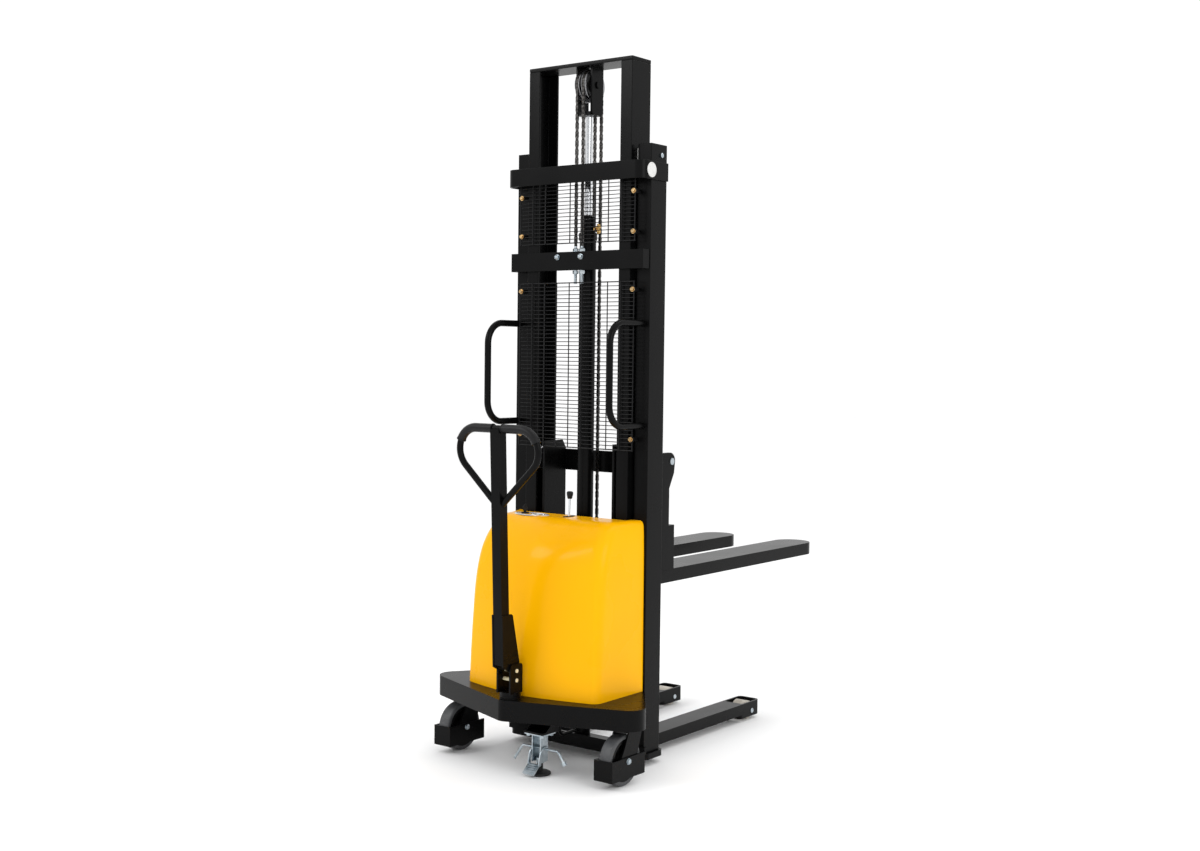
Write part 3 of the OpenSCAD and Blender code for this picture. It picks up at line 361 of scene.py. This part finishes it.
def buildCover():
    bm = bmesh.new()
    rows = cover["up"] + cover["top"]
    bmesh.ops.create_grid(bm, x_segments=cover["around"], y_segments=rows, size=0.5)
    low, high = cover["low"].z / mm, cover["high"].z / mm
    for v in bm.verts:
        u = v.co.x + 0.5
        row = (v.co.y + 0.5) * rows
        if row <= cover["up"]:
            t = 1 - (1 - row / cover["up"]) ** 1.6  # closer rows near the top, where it curves most
            x, y = coverOutline(u, t)
            z = low + (high - low) * t
        else:
            k = 1 - (row - cover["up"]) / cover["top"]
            x, y = coverOutline(u, 1)
            middle = cover["notchBack"] - 1
            x, y = x * k, middle + (y - middle) * k
            z = high
        v.co = at(x, y, z)
    tidyShell(bm)
    # the middle of the top stops short of the inner mast, its sides reach the columns
    for x in (-cover["notch"], cover["notch"]):
        cut = bm.verts[:] + bm.edges[:] + bm.faces[:]
        bmesh.ops.bisect_plane(bm, geom=cut, plane_co=(x * mm, 0, 0), plane_no=(1, 0, 0), dist=1e-6)
    cut = bm.verts[:] + bm.edges[:] + bm.faces[:]
    bmesh.ops.bisect_plane(bm, geom=cut, plane_co=at(0, cover["notchBack"], 0), plane_no=(0, 1, 0), dist=1e-6)
    inner = [f for f in bm.faces if abs(f.calc_center_median().x) < cover["notch"] * mm
             and f.calc_center_median().y > at(0, cover["notchBack"], 0).y]
    bmesh.ops.delete(bm, geom=inner, context="FACES")
    # the shell is open towards the mast and below
    top = max(bm.faces, key=lambda f: f.calc_center_median().z)
    if top.normal.z < 0:
        bmesh.ops.reverse_faces(bm, faces=bm.faces)
    bmesh.ops.solidify(bm, geom=bm.faces[:], thickness=cover["wall"] * mm)
    bmesh.ops.recalc_face_normals(bm, faces=bm.faces)
    return place(bm, "coverShell", "frame", "yellow_paint", ("cover",), sharp=60)


buildCover()

panel = {"x": -137, "y": -112, "long": 78, "wide": 38}


def buildControlPanel():
    # an oval bezel around the key and the gauge
    bm = bmesh.new()
    z = cover["high"].z / mm
    turned(bm, [(-1, 30), (2.2, 31), (3.4, 33), (3.4, 36), (2.2, 38), (-1, 38.6)], at(0, 0, 0), 56, "Z")
    tidyShell(bm)
    for v in bm.verts:
        v.co.x *= panel["long"] / panel["wide"]
    bmesh.ops.translate(bm, vec=at(panel["x"], panel["y"], z) - at(0, 0, 0), verts=bm.verts)
    place(bm, "panelBezel", "frame", "white_plastic", mat=clearRim)


buildControlPanel()

# key switch, key, gauge
keyAt = (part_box("key_switch")[0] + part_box("key_switch")[1]) / 2
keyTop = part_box("key_switch")[1].z
bm = bmesh.new()
centre = Vector((keyAt.x, keyAt.y, keyTop))
turned(bm, [(-66, 0), (-66, 11.6), (-5.2, 11.6), (-5.2, 14), (-4.2, 15), (-1.2, 15), (0, 13.8), (0, 7.5),
            (-1.5, 7), (-1.5, 4.6), (-20, 4.6), (-20, 0)], centre, 40, "Z")
tidyShell(bm)
place(bm, "keySwitch", "frame", "black_plastic", ("key_switch",))

bowRadius = 14
bm = bmesh.new()
turned(bm, [(-24, 0), (-24, 4.3), (3, 4.3), (3.6, 3.7), (3.6, 0)], centre, 20, "Z")
turned(bm, [(-1.5, 4.5), (-1.5, 13.2), (-0.7, 14), (0.7, 14), (1.5, 13.2), (1.5, 4.5), (-1.5, 4.5)],
       Vector((keyAt.x, keyAt.y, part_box("key")[1].z - bowRadius * mm)), 32, "X")
block(bm, centre + Vector((-1.4, -4.5, 2)) * mm, centre + Vector((1.4, 4.5, 9)) * mm)
tidyShell(bm)
place(bm, "keyBow", "key", "black_plastic", ("key",))

gaugeLow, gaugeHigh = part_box("battery_gauge")
centre = Vector(((gaugeLow.x + gaugeHigh.x) / 2, (gaugeLow.y + gaugeHigh.y) / 2, gaugeHigh.z))
bm = bmesh.new()
turned(bm, [(-38, 0), (-38, 24.6), (-5.2, 24.6), (-5.2, 28.4), (-4, 29), (-1.4, 29), (0, 27.4), (0, 25),
            (-2.4, 23.2), (-2.4, 0)], centre, 56, "Z")
tidyShell(bm)
place(bm, "gaugeBody", "frame", "chrome", ("battery_gauge",))
dial = {"marks": 11, "from": 210, "step": 24, "inner": 17, "outer": 21, "down": Vector((0, 0, -1.7 * mm))}
bm = bmesh.new()
turned(bm, [(-2.3, 0), (-1.9, 23), (-2.6, 23.1)], centre, 48, "Z")
for k in range(dial["marks"]):
    a = math.radians(dial["from"] - k * dial["step"])
    out = Vector((math.cos(a), math.sin(a), 0))
    rod(bm, centre + out * dial["inner"] * mm + dial["down"], centre + out * dial["outer"] * mm + dial["down"],
        0.0006, 6)
tidyShell(bm)
place(bm, "gaugeDial", "frame", "white_plastic", mat=dialFace)

# lever, knob and the rubber pad that closes its slot
lever = {"hub": 11, "knob": 28, "slotY": -80, "padLong": 2.6}
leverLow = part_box("control_lever")[0]
leverFoot = Vector(((leverLow.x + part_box("control_lever")[1].x) / 2, leverLow.y + lever["hub"] * mm,
                    leverLow.z + lever["hub"] * mm))
knobMiddle = (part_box("control_knob")[0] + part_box("control_knob")[1]) / 2
leverWay = knobMiddle - leverFoot
knobTilt = Matrix.Rotation(-math.atan2(leverWay.y, leverWay.z), 4, "X")
leverEnd = leverFoot + leverWay * (1 - lever["knob"] / 2 * mm / leverWay.length)
bm = bmesh.new()
turned(bm, [(-8, 4.05), (-8, 10.4), (-7.4, 11), (7.4, 11), (8, 10.4), (8, 4.05), (-8, 4.05)],
       leverFoot, 32, "X")
rod(bm, leverFoot + knobTilt @ Vector((0, 0, 9 * mm)), leverEnd, 0.004, 20)
tidyShell(bm)
place(bm, "leverRod", "lever", "chrome", ("control_lever",))
bm = bmesh.new()
turned(bm, [(0, 0), (0, 7), (2, 9), (9, 10.2), (16, 12), (22, 12.4), (26, 10.8), (28, 7), (28.6, 0)],
       Vector((0, 0, 0)), 36, "Z")
tidyShell(bm)
bmesh.ops.transform(bm, matrix=Matrix.Translation(leverEnd) @ knobTilt, verts=bm.verts)
place(bm, "leverKnob", "lever", "black_plastic", ("control_knob",))
bm = bmesh.new()
turned(bm, [(-3, 0), (-3, 12), (1, 12.6), (1.8, 11.4), (1.2, 9.5), (0.4, 9), (0.4, 0)],
       Vector((0, 0, 0)), 36, "Z")
tidyShell(bm)
seat = Matrix.Translation(Vector((leverFoot.x, at(0, lever["slotY"], 0).y, cover["high"].z)))
seat = seat @ Matrix.Diagonal((1, lever["padLong"], 1, 1))
bmesh.ops.transform(bm, matrix=seat, verts=bm.verts)
place(bm, "leverBoot", "frame", "black_rubber")
print("cover and controls built")

# ---------- wire guards ----------
guard = {"pitchUp": 14.7, "thin": 1.5, "thick": 2.1, "plane": -34.5, "columns": 9, "edge": 2.2, "tab": 8}


def buildGuard(nodeName, pieceName, screwShares):
    low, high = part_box(nodeName)
    half = high.x / mm
    bottom, top = low.z / mm, high.z / mm
    bm = bmesh.new()
    count = round((top - bottom) / guard["pitchUp"])
    for k in range(count + 1):
        z = bottom + guard["edge"] + (top - bottom - 2 * guard["edge"]) * k / count
        thick = guard["edge"] if k in (0, count) else guard["thin"]
        rod(bm, at(-half, guard["plane"] + 1.6, z), at(half, guard["plane"] + 1.6, z), thick * mm, 8)
    for k in range(guard["columns"] + 1):
        x = -half + guard["thick"] + (2 * half - 2 * guard["thick"]) * k / guard["columns"]
        rod(bm, at(x, guard["plane"] - 1.2, bottom), at(x, guard["plane"] - 1.2, top), guard["thick"] * mm, 8)
    for side in (-1, 1):
        for share in screwShares:  # strips welded to the columns
            z = bottom + share * (top - bottom)
            x = side * (half - guard["tab"])
            block(bm, at(x - 9, -33, z - 9), at(x + 9, -29, z + 9), 0.0008)
            block(bm, at(x - 5, -30, z - 7), at(x + 5, 0, z + 7), 0.0006)
    place(bm, pieceName, "frame", "guard_wire", (nodeName,))
    return [at(side * (half - guard["tab"]), -36, bottom + share * (top - bottom))
            for side in (-1, 1) for share in screwShares]


screwSeats = buildGuard("mesh_guard_upper", "wireGuardUpper", (0.15, 0.78))
screwSeats += buildGuard("mesh_guard_lower", "wireGuardLower", (0.07, 0.95))
bm = bmesh.new()
for seat in screwSeats:
    hexBolt(bm, seat, (0, -1, 0), 12, 7, 9.5)
    rod(bm, seat, seat + Vector((0, 3 * mm, 0)), 0.003, 10)
place(bm, "guardScrews", "frame", "zinc_steel", mat=yellowZinc)

# ---------- fixed bolts, chain anchors, axles ----------
beamLow, beamHigh = (v.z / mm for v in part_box("mid_beam"))
beamBack = (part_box("mid_beam")[0].y - mastBack) / mm
rearChainY = (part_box("chain_rear")[0].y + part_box("chain_rear")[1].y) / 2 / mm - mastBack / mm
chainX = 14.7
legX, legAxle, rollerR = 194, 49, 37  # a leg's middle, half its axle, the load roller's radius


def threadedRod(bm, start, end, radius, pitch=1.75):
    # a stud whose thread is turned as ridges
    length = (end - start).length / mm
    turns = int(length / pitch / 2)
    profile = [(0, 0)]
    for k in range(turns):
        profile += [(k * 2 * pitch, radius - 0.7), (k * 2 * pitch + pitch, radius)]
    profile += [(length, radius - 1.2), (length, 0)]
    turned(bm, profile, start, 14, "Z")


bm = bmesh.new()
for side in (-1, 1):
    x = side * chainX
    threadedRod(bm, at(x, rearChainY, beamLow - 50), at(x, rearChainY, beamHigh + 21), 6)
    hexBolt(bm, at(x, rearChainY, beamHigh), (0, 0, 1), 19, 11, 10.5)
    hexBolt(bm, at(x, rearChainY, beamLow), (0, 0, -1), 19, 11, 10.5)
    hexBolt(bm, at(side * 313, 61, 2230), (side, 0, 0), 16, 6.5)
    axle = Vector((0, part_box("load_roller_left")[0].y + rollerR * mm, rollerR * mm))
    for out in (-1, 1):
        seat = axle + Vector((side * legX + out * legAxle, 0, 0)) * mm
        turned(bm, [(out * a, r) for a, r in ((0, 0), (0, 10), (1.6, 10), (2.6, 9), (2.6, 4), (1.4, 3),
                                              (1.4, 0))], seat, 24, "X")
    rod(bm, axle + Vector((side * legX - legAxle, 0, 0)) * mm,
        axle + Vector((side * legX + legAxle, 0, 0)) * mm, 0.0099, 24)
for x in (-84, 26):
    hexBolt(bm, at(x, beamBack, beamLow + 50), (0, -1, 0), 16, 8, 11, domed=True)
tidyShell(bm, False)
place(bm, "frameFixings", "frame", "zinc_steel", ("frame_bolts",))

# ---------- chains ----------
chain = {"pitch": 15.9, "plate": 1.35, "tall": 11.0, "outer": (-4.6, -1.55, 1.55, 4.6),
         "inner": (-3.1, 0, 3.1), "pin": 2.6, "pinLong": 11.6}


def linkPlate(bm, offset, length):
    # one waisted plate lying along Z, its pin holes at the ends
    half, tall = length / 2, chain["tall"] / 2
    ring = [(-tall * 0.45, -half - tall * 0.8), (-tall * 0.9, -half), (-tall * 0.72, 0), (-tall * 0.9, half),
            (-tall * 0.45, half + tall * 0.8), (tall * 0.45, half + tall * 0.8), (tall * 0.9, half),
            (tall * 0.72, 0), (tall * 0.9, -half), (tall * 0.45, -half - tall * 0.8)]
    face = bm.faces.new([bm.verts.new(Vector((offset - chain["plate"] / 2, y, z)) * mm) for y, z in ring])
    made = bmesh.ops.extrude_face_region(bm, geom=[face])["geom"]
    verts = [v for v in made if isinstance(v, bmesh.types.BMVert)]
    bmesh.ops.translate(bm, vec=(chain["plate"] * mm, 0, 0), verts=verts)
    return list(face.verts) + verts


def addLink(bm, k, where):
    verts = []
    for offset in chain["outer"] if k % 2 else chain["inner"]:
        verts += linkPlate(bm, offset, chain["pitch"])
    pinEnd = Matrix.Translation((0, 0, chain["pitch"] / 2 * mm)) @ Matrix.Rotation(math.pi / 2, 4, "Y")
    radius = chain["pin"] * mm
    verts += bmesh.ops.create_cone(bm, cap_ends=True, segments=8, radius1=radius, radius2=radius,
                                   depth=chain["pinLong"] * mm, matrix=pinEnd)["verts"]
    bmesh.ops.transform(bm, matrix=where, verts=verts)


def chainStrand(name, node, y, bottom, top):
    bm = bmesh.new()
    count = int((top - bottom) / chain["pitch"])
    step = (top - bottom) / count
    for side in (-1, 1):
        for k in range(count):
            addLink(bm, k, Matrix.Translation(at(side * chainX, y, bottom + (k + 0.5) * step)))
    bmesh.ops.recalc_face_normals(bm, faces=bm.faces)
    piece = place(bm, name, None, "chain_steel", (node,))
    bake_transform(piece)


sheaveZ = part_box("chain_rear")[1].z / mm
frontChainY = (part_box("chain_front")[0].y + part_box("chain_front")[1].y) / 2 / mm - mastBack / mm
chainStrand("rearChains", "chain_rear", rearChainY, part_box("chain_rear")[0].z / mm, sheaveZ)
chainStrand("frontChains", "chain_front", frontChainY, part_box("chain_front")[0].z / mm, sheaveZ)
bm = bmesh.new()
sheaveR = (frontChainY - rearChainY) / 2
sheaveY = (frontChainY + rearChainY) / 2
wrapLinks = 11
for side in (-1, 1):
    for k in range(wrapLinks):
        a = math.pi * (k + 0.5) / wrapLinks
        spot = at(side * chainX, sheaveY - sheaveR * math.cos(a), sheaveZ + sheaveR * math.sin(a))
        addLink(bm, k, Matrix.Translation(spot) @ Matrix.Rotation(-a, 4, "X"))
bmesh.ops.recalc_face_normals(bm, faces=bm.faces)
place(bm, "wrapChains", "inner_mast", "chain_steel", ("chain_wrap",))

bm = bmesh.new()
hub = at(0, sheaveY, sheaveZ)
for side in (-1, 1):
    turned(bm, [(side * (chainX + a), r) for a, r in
                ((-10, 12.6), (-10, 20), (-8.5, 22), (-8.5, 44), (-10, 47), (-10, 60), (-8.6, 61),
                 (-7.4, 60.5), (-7, 49.5), (7, 49.5), (7.4, 60.5), (8.6, 61), (10, 60), (10, 47), (8.5, 44),
                 (8.5, 22), (10, 20), (10, 12.6), (-10, 12.6))], hub, 64, "X")
tidyShell(bm)
place(bm, "chainSheaves", "sheaves", "roller_steel", ("chain_sheaves",))
print("chains built")


# ---------- rollers ----------
def rollerPair(name, node, body, bore, lip=2.0):
    low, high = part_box(node)
    centre = (low + high) / 2
    radius = (high.z - low.z) / 2 / mm
    outer = high.x / mm
    bm = bmesh.new()
    width = 38 if "carriage" in node else 35
    for side in (-1, 1):
        a, b = outer - width, outer
        turned(bm, [(side * s, r) for s, r in
                    ((a, bore), (a, radius - lip), (a + lip, radius), (b - lip, radius), (b, radius - lip),
                     (b, radius * 0.62), (b - 3, radius * 0.6), (b - 3, bore + 6), (b, bore + 5), (b, bore),
                     (a, bore))],
               Vector((0, centre.y, centre.z)), 56, "X")
    tidyShell(bm)
    place(bm, name, body, "roller_steel", (node,))


rollerPair("mastRollers", "mast_rollers", "mast_rollers", 13.1)
rollerPair("carriageRollersUpper", "carriage_rollers_upper", "rollers_upper", 15.1)
rollerPair("carriageRollersLower", "carriage_rollers_lower", "rollers_lower", 15.1)

# ---------- wheels ----------
wheel = {"radius": 90, "width": 50, "shoulder": 7, "web": 9, "boltCircle": 42, "bolts": 5, "cheek": 40}


def buildRearWheel(side, label):
    low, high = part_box("rear_tyre_" + label)
    centre = (low + high) / 2
    r, w, s = wheel["radius"], wheel["width"] / 2, wheel["shoulder"]
    bm = bmesh.new()
    corner = [(w - s + s * math.sin(math.radians(a)), r - s + s * math.cos(math.radians(a)))
              for a in range(0, 91, 15)]
    profile = [(-a, b) for a, b in reversed(corner)] + corner + [(w, 79), (w - 1.5, 76.5), (w - 1.5, 74.9)]
    profile = [(-w + 1.5, 74.9), (-w + 1.5, 76.5), (-w, 79)] + profile + [(-w + 1.5, 74.9)]
    turned(bm, profile, centre, 96, "X")
    tidyShell(bm)
    body = "rear_wheel_" + label
    place(bm, "rearTyre" + label.capitalize(), body, "grey_tread", ("rear_tyre_" + label,))
    bm = bmesh.new()
    half = [(23.5, 10.1), (24, 11), (24, 21), (23, 22), (12, 24), (9.5, 27), (wheel["web"], 58), (11, 61),
            (22.5, 63), (23.5, 64), (23.8, 74.8)]
    turned(bm, [(-a, b) for a, b in reversed(half)] + half + [(-23.8, 74.8)], centre, 72, "X")
    for k in range(wheel["bolts"]):
        a = math.radians(360 / wheel["bolts"] * k + 18)
        out = Vector((0, math.cos(a), math.sin(a))) * wheel["boltCircle"] * mm
        for way in (-1, 1):
            hexBolt(bm, centre + out + Vector((way * wheel["web"] * mm, 0, 0)), (way, 0, 0), 10, 5)
    tidyShell(bm)
    place(bm, "rearHub" + label.capitalize(), body, "black_paint", ("rear_hub_" + label,))
    bm = bmesh.new()
    for way in (-1, 1):
        turned(bm, [(way * a, b) for a, b in ((23.9, 11.5), (24.6, 12), (24.6, 20), (23.9, 20.6))],
               centre, 40, "X")
    tidyShell(bm)
    place(bm, "wheelBearings" + label.capitalize(), body, "zinc_steel")
    # axle bolt heads on the fork's cheeks
    bm = bmesh.new()
    for way in (-1, 1):
        hexBolt(bm, centre + Vector((way * wheel["cheek"] * mm, 0, 0)), (way, 0, 0), 17, 5, 11.5)
    place(bm, "axleBolts" + label.capitalize(), "wheel_fork_" + label, "zinc_steel")


for side, label in ((-1, "left"), (1, "right")):
    buildRearWheel(side, label)
    low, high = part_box("load_roller_" + label)
    bm = bmesh.new()
    turned(bm, [(-31, 10.1), (-31, 17), (-29.5, 18), (-29.5, 27), (-31, 29), (-31, 34), (-28, 37), (28, 37),
                (31, 34), (31, 29), (29.5, 27), (29.5, 18), (31, 17), (31, 10.1), (-31, 10.1)],
           (low + high) / 2, 64, "X")
    tidyShell(bm)
    roller = "load_roller_" + label
    place(bm, "loadRoller" + label.capitalize(), roller, "load_roller", (roller,))
print("wheels built")

# ---------- tiller grip ----------
tiller = {"lean": 2.2, "pivotY": -392, "pivotZ": 380, "length": 866, "post": 41, "bend": 78, "half": 181,
          "tube": 16, "start": 21, "sweep": 66}
leanTurn = Matrix.Rotation(math.radians(tiller["lean"]), 4, "X")


def onTiller(x, y, z):
    return at(0, tiller["pivotY"], tiller["pivotZ"]) + leanTurn @ (Vector((x, y, z)) * mm)


def buildGrip():
    flat = tiller["half"] - tiller["bend"]
    bm = bmesh.new()
    for side in (-1, 1):
        path = [(tiller["start"] + (flat - tiller["start"]) * k / 8, tiller["length"]) for k in range(9)]
        for k in range(1, 15):
            a = math.radians(90 - tiller["sweep"] * k / 14)
            path.append((flat + tiller["bend"] * math.cos(a), tiller["length"] - tiller["bend"]
                         + tiller["bend"] * math.sin(a)))
        mesh = sweepTube([onTiller(side * x, -tiller["post"], z) for x, z in path], tiller["tube"] * mm, 9)
        bm.from_mesh(mesh)
        bpy.data.meshes.remove(mesh)
        for x, z in (path[-1], path[0]):  # rolled lips at the sleeve's ends
            i = path.index((x, z))
            near = path[i - 1] if i else path[1]
            a = onTiller(side * x, -tiller["post"], z)
            b = onTiller(side * near[0], -tiller["post"], near[1])
            way = (b - a).normalized()
            rod(bm, a + way * 0.5 * mm, a + way * 4 * mm, (tiller["tube"] + 1.2) * mm, 36)
    tidyShell(bm)
    place(bm, "tillerGrip", "tiller", "black_plastic", ("tiller_grip",))


buildGrip()

# ---------- strap caps, rubber foot, rod ----------------
bm = bmesh.new()
capLow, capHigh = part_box("strap_caps")
centre = (capLow + capHigh) / 2
edge = capHigh.x / mm
for side in (-1, 1):
    turned(bm, [(side * a, b) for a, b in ((edge - 3, 0), (edge - 3, 27), (edge - 1.2, 27), (edge - 0.4, 26),
                                           (edge - 0.4, 24), (edge - 1, 23), (edge - 0.2, 12), (edge, 0))],
           Vector((0, centre.y, centre.z)), 48, "X")
tidyShell(bm)
place(bm, "strapCaps", "frame", "white_plastic", ("strap_caps",))

footLow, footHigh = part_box("floor_lock_foot")
centre = Vector(((footLow.x + footHigh.x) / 2, (footLow.y + footHigh.y) / 2, 0))
bm = bmesh.new()
turned(bm, [(0, 0), (0, 37), (1.5, 39.4), (5, 40), (9, 39), (12, 33), (14, 22), (15, 14), (16, 11.02),
            (58, 11.02), (58, 0)], centre, 56, "Z")
tidyShell(bm)
place(bm, "lockFoot", "floor_lock_foot", "black_rubber", ("floor_lock_foot",))

rodLow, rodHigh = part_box("piston_rod")
centre = Vector((0, (rodLow.y + rodHigh.y) / 2, rodLow.z))
length = (rodHigh.z - rodLow.z) / mm
bm = bmesh.new()
turned(bm, [(0, 0), (0, 22.5), (1.5, 23.9), (12, 23.9), (12, 21.5), (17, 21.5), (17, 23.9), (38.5, 23.9),
            (40, 22.5), (40, 14), (length, 14), (length, 0)], centre, 56, "Z")
tidyShell(bm)
place(bm, "pistonRod", "inner_mast", "chrome", ("piston_rod",))

# gland nut, wiper and seam rings on the cylinder
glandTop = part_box("lift_cylinder")[1].z / mm
bm = bmesh.new()
centre = at(0, sheaveY, glandTop)
turned(bm, [(-88, 29.2), (-88, 33.5), (-86, 34.5), (-62, 34.5), (-60, 33), (-60, 29.2)], centre, 48, "Z")
turned(bm, [(-3, 29.2), (0.5, 28), (3.5, 24), (3.5, 15), (0, 14.3)], centre, 48, "Z")
tidyShell(bm)
place(bm, "glandRings", "frame", "black_paint")

port = Vector((0, sheaveY * mm + mastBack, (glandTop - 47) * mm))
bm = bmesh.new()
turned(bm, [(22, 5.9), (38, 5.9), (38, 0)], port, 24, "X")
hexBolt(bm, port + Vector((31 * mm, 0, 0)), (1, 0, 0), 17, 10)
turned(bm, [(-19, 0), (-19, 5), (-17, 6), (17, 6), (19, 5), (19, 0)], port + Vector((49 * mm, 0, 0)), 24, "Z")
hexBolt(bm, port + Vector((49 * mm, 0, 5 * mm)), (0, 0, 1), 14, 8)
hexBolt(bm, port + Vector((49 * mm, 0, -5 * mm)), (0, 0, -1), 14, 8)
tidyShell(bm, False)
place(bm, "portFitting", "frame", "brass", ("hydraulic_fitting",))
print("fittings built")


# ---------- floor, light and camera ----------
def stageMaterial(name, color, rough):
    mat = bpy.data.materials.new(name)
    mat.use_nodes = True
    shader = mat.node_tree.nodes["Principled BSDF"]
    shader.inputs["Base Color"].default_value = (*color, 1)
    shader.inputs["Roughness"].default_value = rough
    return mat


bpy.ops.mesh.primitive_plane_add(size=60, location=(0, 0, -0.0005))
floor = bpy.context.object
floor.name = "studioFloor"
floor.data.materials.append(stageMaterial("paleFloor", (0.97, 0.97, 0.97), 0.8))

world = bpy.data.worlds.new("studio")
bpy.context.scene.world = world
world.use_nodes = True
world.node_tree.nodes["Background"].inputs["Color"].default_value = (1, 1, 1, 1)
world.node_tree.nodes["Background"].inputs["Strength"].default_value = 1.04

lights = {
    "keyLight": ((-2.6, -4.6, 4.2), 70, (2.2, 1.6), (0, -0.1, 0.9)),
    "fillLight": ((5.0, -1.5, 3.4), 55, (2.5, 2.5), (0, 0.2, 1.0)),
    "topLight": ((0.4, 1.5, 5.2), 60, (3.0, 3.0), (0, 0.3, 0.8)),
}
for name, (spot, power, size, aim) in lights.items():
    lamp = bpy.data.lights.new(name, "AREA")
    lamp.energy = power
    lamp.shape = "RECTANGLE"
    lamp.size, lamp.size_y = size
    holder = bpy.data.objects.new(name, lamp)
    holder.location = spot
    holder.rotation_euler = (Vector(aim) - Vector(spot)).to_track_quat("-Z", "Y").to_euler()
    bpy.context.scene.collection.objects.link(holder)

view = {"yaw": 37.10, "pitch": -2.68, "roll": 0.69, "lens": 44.51, "x": 3414.2, "y": -4388.9, "z": 1501.6}
yaw, pitch, roll = (math.radians(view[k]) for k in ("yaw", "pitch", "roll"))
ahead = Vector((-math.sin(yaw) * math.cos(pitch), math.cos(yaw) * math.cos(pitch), math.sin(pitch)))
right = Vector((math.cos(yaw), math.sin(yaw), 0))
upward = right.cross(ahead)
rolledRight = right * math.cos(roll) + upward * math.sin(roll)
rolledUp = upward * math.cos(roll) - right * math.sin(roll)
camera = bpy.data.cameras.new("camera")
camera.lens = view["lens"]
camera.sensor_width = 36
cameraObject = bpy.data.objects.new("camera", camera)
turn = Matrix((rolledRight, rolledUp, -ahead)).transposed().to_4x4()
cameraObject.matrix_world = Matrix.Translation(at(view["x"], view["y"], view["z"])) @ turn
bpy.context.scene.collection.objects.link(cameraObject)
bpy.context.scene.camera = cameraObject
bpy.context.scene.view_settings.view_transform = "Standard"
print("stage set")
